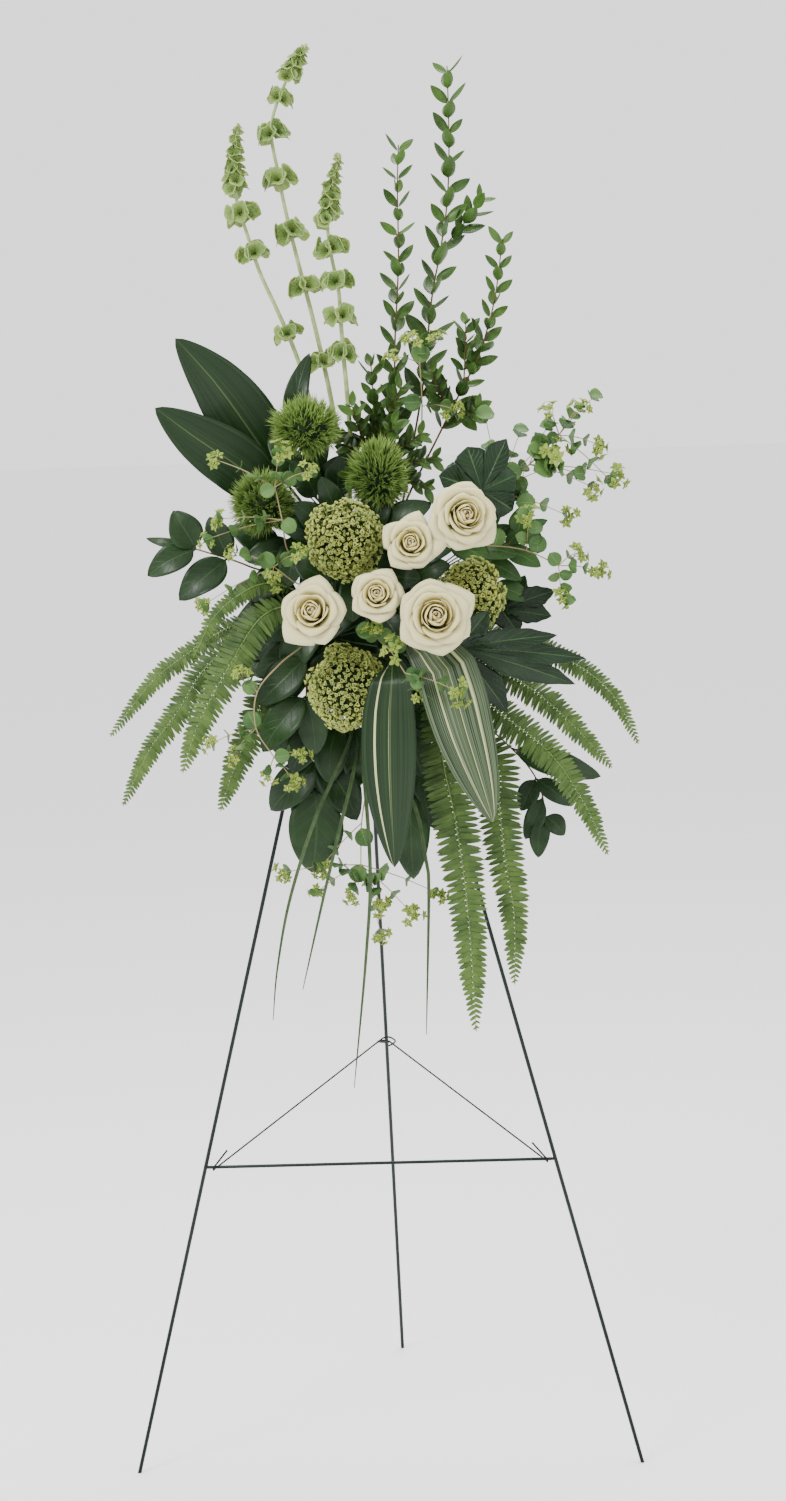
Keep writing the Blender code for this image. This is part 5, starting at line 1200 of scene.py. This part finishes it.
def frond(node, place, points, leaflets, width, face, seed):
    draw = random.Random(seed)
    width = width / 1000
    stalk_rows = 4
    line = stem_line(place, seen_route(points), stalk_rows + leaflets + 1)
    pieces = [main_stem(node, line, 60, (0.0011, 0.0005), fern_rib, 6)]
    length = sum((second - first).length for first, second in zip(line[stalk_rows:], line[stalk_rows + 1:]))
    pairs = int(length / max(0.0048, width * 0.125))
    travel = directions(line)
    for pair in range(pairs):
        share = (pair + 0.3) / pairs
        spot = stalk_rows + share * leaflets
        centre = point_at(line, spot)
        along, side, normal = leaf_frame(point_at(travel, spot), Vector(face))
        reach = width / 2 * min(1.0, 0.50 + 2.4 * share) * (1 - share ** 3.4) ** 0.8 + 0.0035
        for sign, unit in ((-1, mirrored_leaflet), (1, leaflet)):
            lean = 0.20 + 0.60 * share ** 3 + draw.uniform(-0.07, 0.07)
            out = (side * sign + along * lean - normal * draw.uniform(-0.05, 0.30)).normalized()
            wide = 1.02 * length / pairs / reach / 0.21
            offset = along * (length / pairs * (0.25 * (sign > 0)))
            twist = normal + along * draw.uniform(-0.45, 0.10) + side * draw.uniform(-0.10, 0.10)
            size = reach * draw.uniform(0.93, 1.05)
            shade = min(1.0, 0.55 * share ** 1.5 + draw.uniform(0, 0.45))
            pieces.append(leaf_at(unit, centre + offset, out, twist, size, shade, min(1.9, max(0.75, wide))))
    pieces.append(leaf_at(leaflet, line[-1] - travel[-1] * 0.006, travel[-1], Vector(face), 0.009, 0.9))
    plant(node, pieces)


fronds = (
    ("fern_frond_left_long", ("left", 4, 3),
     ((-100, 1055, -85), (-157, 1039, -110), (-205, 1011, -120), (-253, 976, -125),
      (-306, 913, -130)), 14, 27, (-0.1, -1, 0.5)),
    ("fern_frond_left_low", ("left", 5, 2),
     ((-110, 1040, -115), (-182, 997, -145), (-225, 937, -155), (-261, 892, -160),
      (-295, 828, -160)), 14, 35, (-0.1, -1, 0.4)),
    ("fern_frond_left_front", ("front", 0, 5),
     ((-78, 1062, -175), (-118, 1050, -200), (-160, 991, -205), (-199, 924, -205),
      (-221, 866, -200)), 16, 46, (-0.1, -1, 0.4)),
    ("fern_frond_left_short", ("left", 6, 2),
     ((-85, 1000, -130), (-115, 960, -160), (-132, 922, -165), (-158, 869, -165),
      (-177, 818, -160)), 12, 42, (-0.1, -1, 0.3)),
    ("fern_frond_left_small", ("front", 0, 4),
     ((-80, 1083, -158), (-120, 1089, -175), (-171, 1056, -180), (-201, 1006, -180)),
     11, 22, (-0.1, -1, 0.5)),
    ("fern_frond_right_far", ("right", 4, 3),
     ((130, 1035, -90), (200, 1010, -115), (266, 975, -125), (305, 936, -130),
      (329, 884, -130)), 12, 29, (0.1, -1, 0.5)),
    ("fern_frond_right_middle", ("right", 5, 2),
     ((120, 1005, -120), (203, 953, -150), (253, 906, -158), (296, 856, -160)),
     13, 38, (0.1, -1, 0.5)),
    ("fern_frond_right_low", ("right", 6, 2),
     ((105, 985, -145), (151, 937, -182), (221, 876, -192), (261, 815, -195),
      (289, 750, -195)), 16, 43, (0.1, -1, 0.4)),
    ("fern_frond_hanging_left", ("front", 5, 7),
     ((82, 955, -175), (96, 855, -185), (104, 812, -185), (114, 731, -180),
      (120, 643, -172), (123, 536, -165)), 20, 54, (0.0, -1, 0.2)),
    ("fern_frond_hanging_right", ("front", 5, 8),
     ((110, 930, -145), (157, 867, -148), (160, 811, -150), (165, 748, -148),
      (174, 676, -145), (172, 593, -140)), 18, 50, (0.0, -1, 0.2)),
)
for seed, values in enumerate(fronds):
    frond(*values, seed)
remove(leaflet, mirrored_leaflet)
print_counts("fern")

# %% [markdown]
# ## Bupleurum
# A thin branched stem ends each twig in a star of pointed bracts round a cushion of tiny yellow flowers,
# and its leaves are round with the twig through them. The bract, the flower and the round leaf are each
# made once.

# %% Bupleurum units
bract = sheet_of("bract", 2, 5, leaf_rule(0.50, 0.7, 0.75, 0.25, 0.10), 0.03, bract_leaf)
round_unit = sheet_of("round_leaf", 6, 7, leaf_rule(0.95, 0.5, 0.95, 0.30, 0.05, 0.02), 0.02, round_leaf)
KNOBS = 5
KNOB_RADIUS = 0.0012
bpy.ops.object.select_all(action="DESELECT")
bpy.ops.mesh.primitive_ico_sphere_add(subdivisions=1, radius=KNOB_RADIUS)
bpy.ops.object.shade_smooth()
knob = bpy.context.object
knob.name = "flower_knob"
knob.data.materials.append(yellow_floret)
knob.data.uv_layers[0].name = "UVMap"
put_attribute(knob.data, "along", [0.5 + point.co.z / (2 * KNOB_RADIUS) for point in knob.data.vertices])
shade_mesh(knob.data, 0)


def flower_star(centre, normal, radius, draw):
    """One star: five or six bracts in a shallow cup, with a cushion of tiny flowers."""
    made = []
    side = any_normal(normal)
    count = 5 if draw.random() < 0.6 else 6
    start = draw.uniform(0, math.tau)
    for number in range(count):
        turn = Matrix.Rotation(start + math.tau * number / count, 3, normal)
        out = (turn @ side + normal * draw.uniform(0.15, 0.50)).normalized()
        made.append(leaf_at(bract, centre + out * 0.0006, out, normal, radius * draw.uniform(0.85, 1.1),
                            draw.uniform(0, 1), 1.25))
    for number in range(KNOBS):
        reach = radius * 0.40 * math.sqrt((number + 0.3) / KNOBS)
        turn = Matrix.Rotation(number * SPIRAL, 3, normal)
        place = centre + (turn @ side) * reach + normal * (0.0018 + 0.0012 * draw.random())
        size = draw.uniform(0.65, 1.05)
        stand = place_of(place, side, normal.cross(side), normal, (size,) * 3)
        made.append(copy_of(knob, stand, draw.uniform(0, 1)))
    return made


def flower_cluster(centre, normal, radius, draw):
    """A head of four or five stars, each on a short stalk from one point behind them."""
    foot = centre - normal * (radius * 0.9)
    made = []
    side = any_normal(normal)
    count = 4 if radius < 0.0125 else 5
    start = draw.uniform(0, math.tau)
    for number in range(count):
        turn = Matrix.Rotation(start + math.tau * number / count + draw.uniform(-0.3, 0.3), 3, normal)
        reach = 0.0 if number == 0 else radius * draw.uniform(0.62, 0.90)
        spot = centre + (turn @ side) * reach + normal * (radius * draw.uniform(-0.20, 0.20))
        facing = (spot - foot).normalized()
        made.append(stem_of("stalk", [foot, foot.lerp(spot, 0.5) + facing * 0.0004, spot], (0.0004, 0.0003),
                            cream_stem, 6))
        made += flower_star(spot, facing, radius * draw.uniform(0.54, 0.72), draw)
    return made


def bupleurum(node, place, trunk, branches, seed):
    """Each branch is the number of its trunk point, its end, and the radius of its head.

    A radius below zero is a round leaf's instead."""
    draw = random.Random(seed)
    knots = seen_route(trunk)
    line = stem_line(place, knots, 3 + len(trunk))
    pieces = [main_stem(node, line, 30, (0.0012, 0.0007), cream_stem)]
    for knot in knots[1:]:
        side = Vector((draw.uniform(-1, 1), 0, draw.uniform(-1, 1))).normalized()
        face = FRONT + UP * draw.uniform(-0.3, 0.6)
        pieces.append(leaf_at(round_unit, knot, side, face, draw.uniform(0.016, 0.024), draw.uniform(0, 0.7)))
    for number, end, radius in branches:
        radius = radius / 1000
        start = min(line, key=lambda point: (point - knots[number]).length)
        face = Vector((draw.uniform(-0.5, 0.5), -1, draw.uniform(0.1, 0.7)))
        tip = seen(*end)
        normal = (face.normalized() + (tip - start).normalized() * 0.7).normalized()
        twig = smooth([start, start.lerp(tip, 0.5) + UP * 0.003, tip], 10)
        pieces.append(stem_of(node + "_twig", twig, (0.0007, 0.00045), cream_stem, 6))
        if radius > 0:
            pieces += flower_cluster(tip, normal, radius, draw)
        else:
            side = any_normal(normal)
            pieces.append(leaf_at(round_unit, tip - side * abs(radius), side, normal, abs(radius) * 2,
                                  draw.uniform(0.2, 1)))
        knees = (4,) if (tip - start).length < 0.035 else (2, 5, 8)
        for knee in knees:
            out = (twig[knee + 1] - twig[knee - 1]).normalized()
            across = any_normal(out)
            first_way = draw.choice((-1, 1))
            ways = (first_way,) if knee > 2 else (first_way, -first_way)
            for way in ways:
                direction = (across * way + out * draw.uniform(0.2, 0.7)).normalized()
                face = out * 0.6 + FRONT * draw.uniform(0.5, 1.2)
                pieces.append(leaf_at(round_unit, twig[knee], direction, face, draw.uniform(0.014, 0.022),
                                      draw.uniform(0.1, 1)))
    plant(node, pieces)


bupleurum("bupleurum_top", ("top", 4, 2), ((78, 1250, -95), (84, 1300, -125), (83, 1345, -135)),
          ((2, (75, 1375, -135), 13), (2, (104, 1375, -130), 12), (1, (121, 1290, -140), 12),
           (2, (50, 1353, -140), 10)), 51)
bupleurum("bupleurum_right_high", ("right", 2, 2),
          ((130, 1150, -110), (190, 1205, -135), (225, 1235, -140), (245, 1255, -140)),
          ((3, (271, 1287, -140), 12), (3, (235, 1285, -135), 12), (2, (239, 1237, -150), 16),
           (3, (294, 1240, -140), 13), (2, (285, 1191, -145), 13), (2, (316, 1205, -140), 13),
           (1, (255, 1158, -150), 12), (1, (200, 1262, -130), -10),
           (3, (290, 1300, -130), -9), (1, (158, 1282, -135), -12), (2, (232, 1266, -140), -10),
           (1, (216, 1236, -148), -12), (1, (224, 1214, -150), -14), (2, (267, 1208, -150), -10),
           (1, (187, 1212, -150), -13), (1, (203, 1176, -155), -12),
           (3, (305, 1198, -140), -8)), 52)
bupleurum("bupleurum_right_low", ("front", 5, 2),
          ((90, 1124, -160), (165, 1126, -170), (215, 1115, -188), (240, 1100, -190)),
          ((2, (207, 1161, -200), 13), (3, (266, 1115, -190), 12), (3, (290, 1090, -190), 12),
           (3, (242, 1060, -190), 12)), 53)
bupleurum("bupleurum_left_high", ("front", 0, 2),
          ((-80, 1120, -185), (-88, 1165, -215), (-95, 1205, -222)),
          ((2, (-169, 1242, -190), 12), (2, (-88, 1248, -222), 14), (2, (-52, 1223, -235), 12),
           (1, (-167, 1169, -215), 11), (1, (-181, 1145, -190), 10)), 54)
bupleurum("bupleurum_left_low", ("front", 0, 3), ((-75, 1090, -200), (-100, 1110, -220)),
          ((1, (-68, 1125, -240), 11), (1, (-103, 1094, -235), 11), (1, (-150, 1130, -205), 10),
           (1, (-190, 1065, -215), 10)), 55)
bupleurum("bupleurum_centre", ("front", 3, 5), ((20, 1020, -200), (32, 1010, -240), (52, 977, -279)),
          ((0, (15, 1030, -245), 12), (1, (42, 1007, -268), 14), (2, (72, 947, -262), 10),
           (2, (119, 950, -290), 13)), 56)
bupleurum("bupleurum_low_left", ("front", 0, 6),
          ((-95, 995, -205), (-125, 965, -222), (-130, 915, -222), (-110, 880, -210)),
          ((1, (-145, 985, -225), 11), (2, (-187, 898, -225), 11), (2, (-160, 882, -215), 11),
           (3, (-76, 884, -205), 11), (3, (-85, 844, -200), 12), (3, (-118, 855, -205), 10)),
          57)
bupleurum("bupleurum_bottom", ("bottom", 3, 2), ((4, 860, -130), (-8, 790, -145), (-10, 745, -148)),
          ((1, (-60, 741, -150), 12), (2, (-105, 738, -150), 11), (2, (-66, 712, -150), 10),
           (2, (-22, 705, -150), 11), (2, (14, 692, -150), 12), (2, (12, 656, -150), 11),
           (2, (52, 680, -150), 13), (2, (84, 706, -145), 11)), 58)
remove(bract, round_unit, knob)
print_counts("bupleurum")

# %% [markdown]
# ## Bear grass
# Long thin keeled blades hang from one root. Each is a narrow grid that follows its own route and thins to
# its tip.

# %% Bear grass
BLADE_ROWS = 48
BLADE_FACE = Vector((0.2, -1, 0.1))
root, holder = socket("bottom", 2, 2)
blades = (
    ((-19, 895, -130), (-63, 803, -165), (-98, 705, -170), (-117, 619, -170),
     (-125, 555, -165)),
    ((-10, 880, -125), (-35, 786, -170), (-56, 710, -175), (-87, 592, -175)),
    ((-3, 870, -130), (1, 739, -175), (-8, 632, -178), (-29, 467, -175)),
    ((12, 880, -128), (56, 820, -150), (69, 749, -158), (71, 706, -160),
     (62, 532, -155)),
)
grass = [stem_of("grass_root", [root, holder], (0.0028, 0.0024), grass_blade, 10)]
for points in blades:
    line = smooth([holder] + seen_route(points), BLADE_ROWS + 1)
    travel = directions(line)

    def blade_rule(u, v, line=line, travel=travel):
        step = min(int(v * BLADE_ROWS + 0.5), BLADE_ROWS)
        _, side, normal = leaf_frame(travel[step], BLADE_FACE)
        half = 0.0021 * min(1.0, 0.75 + v) * (1 - v ** 3) + 0.0002
        return line[step] + side * (half * u) + normal * (0.0008 * u * u)

    grass.append(sheet_of("grass_blade", 4, BLADE_ROWS, blade_rule, 0.0005, grass_blade))
plant("bear_grass", grass)

# %% [markdown]
# ## Moss balls and floret heads
# The moss-like dianthus is a ball of fine green needles that all lean the way it grows. A few tufts of
# needles are made once and copied over a near-black core, which is painted shade between them. The hydrangea
# heads are domes of small umbels, with dark gaps of painted shade from such a core between them, so an umbel
# of cup-shaped florets on short stalks is made a few times and copied the same way.

# %% Needle tufts and umbels
NEEDLE_GIRTH = 0.00075
FLORET_SIZE = 0.0040
HEAD_BACK = -0.45
OPENED = 14


def jitter(draw, reach):
    return Vector([draw.uniform(-reach, reach) for _ in range(3)])


def tuft_of(name, count, draw):
    """Needles that fan out from one point round the Y axis."""
    needles = []
    for number in range(count):
        length = draw.uniform(0.013, 0.022)
        lean = Vector((draw.uniform(-1, 1), 0, draw.uniform(-1, 1))) * 0.34
        bow = Vector((draw.uniform(-1, 1), 0, draw.uniform(-1, 1))) * 0.003
        girth = NEEDLE_GIRTH * draw.uniform(0.8, 1.3)

        def rule(u, v, length=length, lean=lean, bow=bow, girth=girth):
            turn = math.pi * u
            round_it = Vector((math.cos(turn), 0, math.sin(turn))) * (girth * (1.05 - v ** 2))
            return Vector((0, 1, 0)) * (length * v) + lean * (length * v) + bow * (v * v) + round_it

        needles.append(sheet_of(name, 3, 3, rule, 0, moss_needle, closed=True))
    return joined(name, needles)


def cup_rule(size, depth, lobes):
    """A floret like a small cup with a lobed rim, standing on the XY plane."""
    def rule(u, v):
        turn = math.pi * u
        rim = 1 + 0.24 * v * math.cos(lobes * turn)
        reach = size * (0.12 + 0.88 * v ** 1.4) * 0.55 * rim
        return (reach * math.cos(turn), reach * math.sin(turn), size * depth * v)
    return rule


def umbel_of(name, count, reach, material, draw):
    """Florets on short stalks that spread from one point up round the Z axis."""
    florets = []
    for number in range(count):
        share = (number + 0.4) / count
        turn = number * SPIRAL + draw.uniform(-0.3, 0.3)
        lean = 1.05 * math.sqrt(share)
        out = Vector((math.sin(lean) * math.cos(turn), math.sin(lean) * math.sin(turn), math.cos(lean)))
        tip = out * reach * draw.uniform(0.85, 1.1)
        size = FLORET_SIZE * draw.uniform(0.75, 1.25)
        cup = sheet_of(name, 6, 2, cup_rule(size, draw.uniform(0.7, 1.2), 3), 0.0003, material, closed=True)
        side = any_normal(out)
        cup.data.transform(place_of(tip, out.cross(side), side, out))
        florets.append(cup)
        florets.append(stem_of(name, [Vector((0, 0, 0)), tip], (0.0003, 0.0003), floret_stalk, 4))
    return joined(name, florets)


def open_floret(name, reach, material):
    """A floret that has opened: four rounded petals in a shallow cup on the XY plane."""
    petals = []
    for number in range(4):
        turn = Matrix.Rotation(math.tau * number / 4, 3, "Z")

        def rule(u, v, turn=turn):
            half = 0.50 * reach * max(0.0, math.sin(math.pi * min(1.0, 0.10 + 0.82 * v))) ** 0.6
            return turn @ Vector((half * u, reach * v, 0.35 * v * v * reach + 0.25 * half * u * u))

        petals.append(sheet_of(name, 2, 4, rule, 0.0003, material))
    return joined(name, petals)


unit_draw = random.Random(30)
tufts = [tuft_of("needle_tuft", 8, unit_draw) for _ in range(5)]
umbels = [umbel_of("umbel", 10, 0.0092, floret_petal, unit_draw) for _ in range(3)]
yellow_umbels = [umbel_of("yellow_umbel", 10, 0.0092, yellow_floret, unit_draw) for _ in range(2)]
wide_floret = open_floret("open_floret", 0.0052, floret_petal)
print("tuft", len(tufts[0].data.polygons), "umbel", len(umbels[0].data.polygons), "faces")


def core_of(name, centre, radii, material, draw, rough=0.06):
    bpy.ops.object.select_all(action="DESELECT")
    bpy.ops.mesh.primitive_ico_sphere_add(subdivisions=4, radius=1)
    made = bpy.context.object
    made.name = name
    for point in made.data.vertices:
        direction = point.co.normalized()
        waves = math.sin(9 * direction.x + 5 * direction.z), math.cos(11 * direction.y - 3 * direction.z)
        bulge = 1 + rough * waves[0] * waves[1]
        point.co = centre + Vector([direction[axis] * radii[axis] * bulge for axis in range(3)])
    made.data.materials.append(material)
    bpy.ops.object.shade_smooth()
    made.data.uv_layers[0].name = "UVMap"
    put_attribute(made.data, "along", np.zeros(len(made.data.vertices)))
    shade_mesh(made.data, draw.uniform(0, 1))
    return made


def over_ball(count, draw):
    """Directions spread evenly over a ball, each moved a little."""
    for number in range(count):
        height = 1 - 2 * (number + 0.5) / count
        angle = number * math.pi * (3 - math.sqrt(5))
        ring = math.sqrt(1 - height * height)
        even = Vector((ring * math.cos(angle), ring * math.sin(angle), height))
        yield (even + jitter(draw, 0.06)).normalized()


def on_ball(middle, radii, direction, share):
    return middle + Vector([direction[axis] * radii[axis] * share for axis in range(3)])


def stalk_to_head(node, place, middle, radii, facing, radius):
    backward = Vector(facing).normalized() * -1
    foot = on_ball(middle, radii, backward, 0.80)
    line = stem_line(place, [foot + backward * 0.012, middle], 6)
    return main_stem(node, line, 20, (radius, radius), green_stem, 10)


def moss_ball(node, place, centre, radii, facing, count, seed, shadow=0.0):
    """Tufts over a near-black core of painted shade. They lean with the ball's growth and are darker on its
    shaded side, as painted shade, and shadow darkens the whole ball.
    """
    draw = random.Random(seed)
    middle = seen(*centre)
    radii = [radius / 1000 for radius in radii]
    growth = (Vector(facing).normalized() + UP * 0.5).normalized()
    pieces = [stalk_to_head(node, place, middle, radii, facing, 0.0018),
              core_of(node + "_core", middle, [radius * 0.62 for radius in radii], painted_shade_core, draw)]
    for direction in over_ball(count, draw):
        base = on_ball(middle, radii, direction, draw.uniform(0.45, 0.62))
        lean = growth * 0.42 + jitter(draw, 0.28)
        along, side, normal = leaf_frame(direction + lean, jitter(draw, 1))
        size = draw.uniform(0.85, 1.15)
        # Painted shade: tufts on the side away from the ball's growth are darker, and shadow darkens them
        # all, over a random part.
        low = 0.5 - 0.5 * direction.dot(growth)
        shade = min(1.0, shadow + 0.35 * low + draw.uniform(0, 0.3))
        tuft = draw.choice(tufts)
        pieces.append(copy_of(tuft, place_of(base, along, side, normal, (1.0, size, 1.0)), shade))
    plant(node, pieces)


def floret_head(node, place, centre, radii, facing, count, seed, yellow=0.1):
    """Umbels over a near-black core of painted shade in the gaps, but none at its back, with a few opened
    florets round the rim that shows.
    """
    draw = random.Random(seed)
    middle = seen(*centre)
    radii = [radius / 1000 for radius in radii]
    facing = Vector(facing).normalized()
    pieces = [stalk_to_head(node, place, middle, radii, facing, 0.0026),
              core_of(node + "_core", middle, [radius * 0.70 for radius in radii], painted_shade_core, draw, 0.10)]
    lumps = [(direction, draw.uniform(-0.15, 0.15)) for direction in over_ball(22, draw)]
    for direction in over_ball(count, draw):
        if direction.dot(facing) < HEAD_BACK:
            continue
        normal = (direction + jitter(draw, 0.18)).normalized()
        side = Matrix.Rotation(draw.uniform(0, math.tau), 3, normal) @ any_normal(normal)
        unit = draw.choice(yellow_umbels if draw.random() < yellow else umbels)
        lump = max(lumps, key=lambda lump: lump[0].dot(direction))[1]
        base = on_ball(middle, radii, direction, 0.76 + lump + draw.uniform(-0.04, 0.04))
        size = draw.uniform(0.85, 1.15)
        stand = place_of(base, normal.cross(side), side, normal, (size,) * 3)
        pieces.append(copy_of(unit, stand, draw.uniform(0, 1)))
    across = any_normal(facing)
    for number in range(OPENED):
        turn = Matrix.Rotation(math.tau * number / OPENED + draw.uniform(-0.2, 0.2), 3, facing)
        direction = (turn @ across + facing * draw.uniform(0.1, 0.9)).normalized()
        normal = (direction + facing * 0.4).normalized()
        side = Matrix.Rotation(draw.uniform(0, math.tau), 3, normal) @ any_normal(normal)
        spot = on_ball(middle, radii, direction, draw.uniform(0.98, 1.04))
        stand = place_of(spot, normal.cross(side), side, normal)
        pieces.append(copy_of(wide_floret, stand, draw.uniform(0, 0.4)))
    plant(node, pieces)


# %% Three moss balls and three floret heads
moss_ball("dianthus_ball_left", ("top", 1, 2), (-55, 1274, -165), (48, 36, 36), (-0.2, -0.6, 1), 240, 31)
moss_ball("dianthus_ball_middle", ("top", 3, 2), (29, 1215, -158), (39, 36, 50), (0, -0.6, 1), 260, 32)
moss_ball("dianthus_ball_low", ("front", 0, 0), (-110, 1186, -160), (42, 34, 40), (-0.7, -1, 0.6), 240, 33,
          0.25)
floret_head("hydrangea_head_top", ("front", 2, 1), (-15, 1137, -210), (42, 34, 44), (0, -1, 0.3), 135, 34)
floret_head("hydrangea_head_bottom", ("front", 2, 7), (-17, 963, -200), (45, 36, 48), (0, -1, -0.1),
            145, 35, 0.06)
floret_head("hydrangea_head_right", ("front", 5, 3), (133, 1068, -190), (36, 30, 40), (0.3, -1, 0.1),
            110, 36, 0.45)
remove(wide_floret, *tufts, *umbels, *yellow_umbels)
print_counts("head", "ball")

# %% [markdown]
# ## Roses
# A rose is rings of petals round an axis, from a tight spiral inside to wide outer petals whose rims roll
# back to a blunt point. Each petal is a grid wrapped round the axis by its own angle, width and profile,
# solidified to half a millimetre. One edge of a petal tucks inside its neighbour and the other lies
# outside. Sepals and a swollen hip join the flower to its stem.

# %% Rose parts
BUD_RINGS = (
    # petals, reach, height, half angle, roll, depth of colour
    (2, 0.06, 0.98, 2.60, -0.02, 1.00),
    (3, 0.13, 1.02, 1.90, -0.04, 1.00),
    (3, 0.22, 1.05, 1.45, -0.05, 0.90),
    (4, 0.32, 1.05, 1.10, -0.05, 0.75),
    (5, 0.43, 1.02, 0.95, -0.02, 0.55),
)
OUTER_RINGS = (
    (5, 0.56, 0.96, 0.96, 0.06, 0.35),
    (5, 0.70, 0.85, 0.98, 0.12, 0.15),
    (6, 0.82, 0.64, 0.86, 0.17, 0.00),
)
TUCK = 0.050
RING_OFFSET = 0.56


def petal_rule(foot, axis, first, second, radius, angle, ring, draw):
    """The shape of one petal of a ring, as a rule for a grid."""
    _, reach, height, spread, roll, _ = ring
    grown = draw.uniform(0.93, 1.05)
    height *= draw.uniform(0.96, 1.03)
    spread *= draw.uniform(0.94, 1.08)
    roll *= draw.uniform(0.75, 1.25)
    point = roll * draw.uniform(0.4, 1.1)
    frill = draw.uniform(0, math.tau)
    outer = min(1.0, reach / 0.6)

    def rule(u, v):
        top = max(0.0, v - 0.70) / 0.30
        wide = spread * (0.35 + 0.65 * math.sin(math.pi / 2 * min(1.0, 1.3 * v)))
        wide *= math.sqrt(1 - 0.30 * top * top)
        belly = reach * (1 - 0.62 * outer * (1 - v) ** 1.8)
        wave = 0.012 * outer * math.sin(4 * u + frill) * v
        rolled = roll * top ** 1.6 * (1 - 0.35 * u * u)
        pointed = point * (1 - abs(u)) ** 2 * top
        out = belly + TUCK * u * outer + wave + rolled + pointed
        climb = 0.10 + 0.90 * math.sin(math.pi / 2 * min(1.0, 1.04 * v))
        rise = height * climb * (1 - 0.20 * abs(u) ** 2.6 * v) - 0.60 * roll * top ** 2.4
        turn = angle + u * wide
        direction = first * math.cos(turn) + second * math.sin(turn)
        return foot + direction * (out * radius * grown) + axis * (rise * radius)

    return rule


def hip_of(name, foot, axis, first, second, radius):
    bpy.ops.object.select_all(action="DESELECT")
    bpy.ops.mesh.primitive_uv_sphere_add(segments=20, ring_count=12, radius=1)
    hip = bpy.context.object
    hip.name = name
    for point in hip.data.vertices:
        height = point.co.z
        swell = radius * (0.20 + 0.04 * height)
        point.co = (foot + axis * (radius * (0.02 + 0.26 * height))
                    + (first * point.co.x + second * point.co.y) * swell)
    hip.data.materials.append(green_stem)
    hip.data.uv_layers[0].name = "UVMap"
    bpy.ops.object.shade_smooth()
    put_attribute(hip.data, "along", np.zeros(len(hip.data.vertices)))
    shade_mesh(hip.data, 0)
    return hip


# %% Five roses


def rose(node, place, centre, facing, radius, seed, rings):
    draw = random.Random(seed)
    radius = radius / 1000
    head = seen(*centre)
    axis = Vector(facing).normalized()
    first = any_normal(axis)
    second = axis.cross(first)
    foot = head - axis * (0.62 * radius)
    line = stem_line(place, [foot - axis * 0.016, foot + axis * 0.004], 6)
    pieces = [main_stem(node, line, 20, (0.0028, 0.0028), green_stem, 12),
              hip_of(node + "_hip", foot, axis, first, second, radius)]
    start = draw.uniform(0, math.tau)
    for number, ring in enumerate(rings):
        for step in range(ring[0]):
            angle = start + (step + number * RING_OFFSET) * math.tau / ring[0] + draw.uniform(-0.15, 0.15)
            rule = petal_rule(foot, axis, first, second, radius, angle, ring, draw)
            petal = sheet_of(node + "_petal", 12, 9, rule, 0.0005, rose_petal)
            shade_mesh(petal.data, ring[-1] * draw.uniform(0.8, 1.0))
            pieces.append(petal)
    for number in range(5):
        angle = math.tau * number / 5 + 0.4
        direction = first * math.cos(angle) + second * math.sin(angle)
        across = second * math.cos(angle) - first * math.sin(angle)

        def sepal_rule(u, v, direction=direction, across=across):
            half = 0.13 * max(0.02, math.sin(math.pi * (0.18 + 0.80 * v)))
            return foot + (direction * (0.16 + 0.62 * v) + across * (half * u)
                           + axis * (0.02 - 0.25 * v * (1 - v) - 0.10 * v)) * radius

        pieces.append(sheet_of(node + "_sepal", 4, 8, sepal_rule, 0.0006, fresh_leaf))
    plant(node, pieces)


full = BUD_RINGS + OUTER_RINGS
half_open = BUD_RINGS[:4] + ((4, 0.47, 1.03, 1.08, 0.03, 0.45), (4, 0.66, 0.97, 1.06, 0.12, 0.20),
                             (5, 0.80, 0.74, 0.86, 0.22, 0.00))
rose("rose_upper_right", ("front", 5, 1), (129, 1163, -245), (0.30, -1, 0.25), 38, 41, full)
rose("rose_upper_middle", ("front", 4, 1), (65, 1132, -255), (0.02, -1, 0.30), 31, 42, half_open)
rose("rose_left", ("front", 1, 4), (-56, 1054, -265), (-0.12, -1, 0.30), 36, 43, half_open)
rose("rose_middle", ("front", 3, 3), (22, 1072, -270), (0.0, -1, 0.32), 30, 44, half_open)
rose("rose_lower_right", ("front", 4, 4), (91, 1044, -285), (0.10, -1, 0.20), 41, 45, full)
print_counts("rose")

# %% Triangle count
print("triangles in all:", sum(triangle_counts.values()))
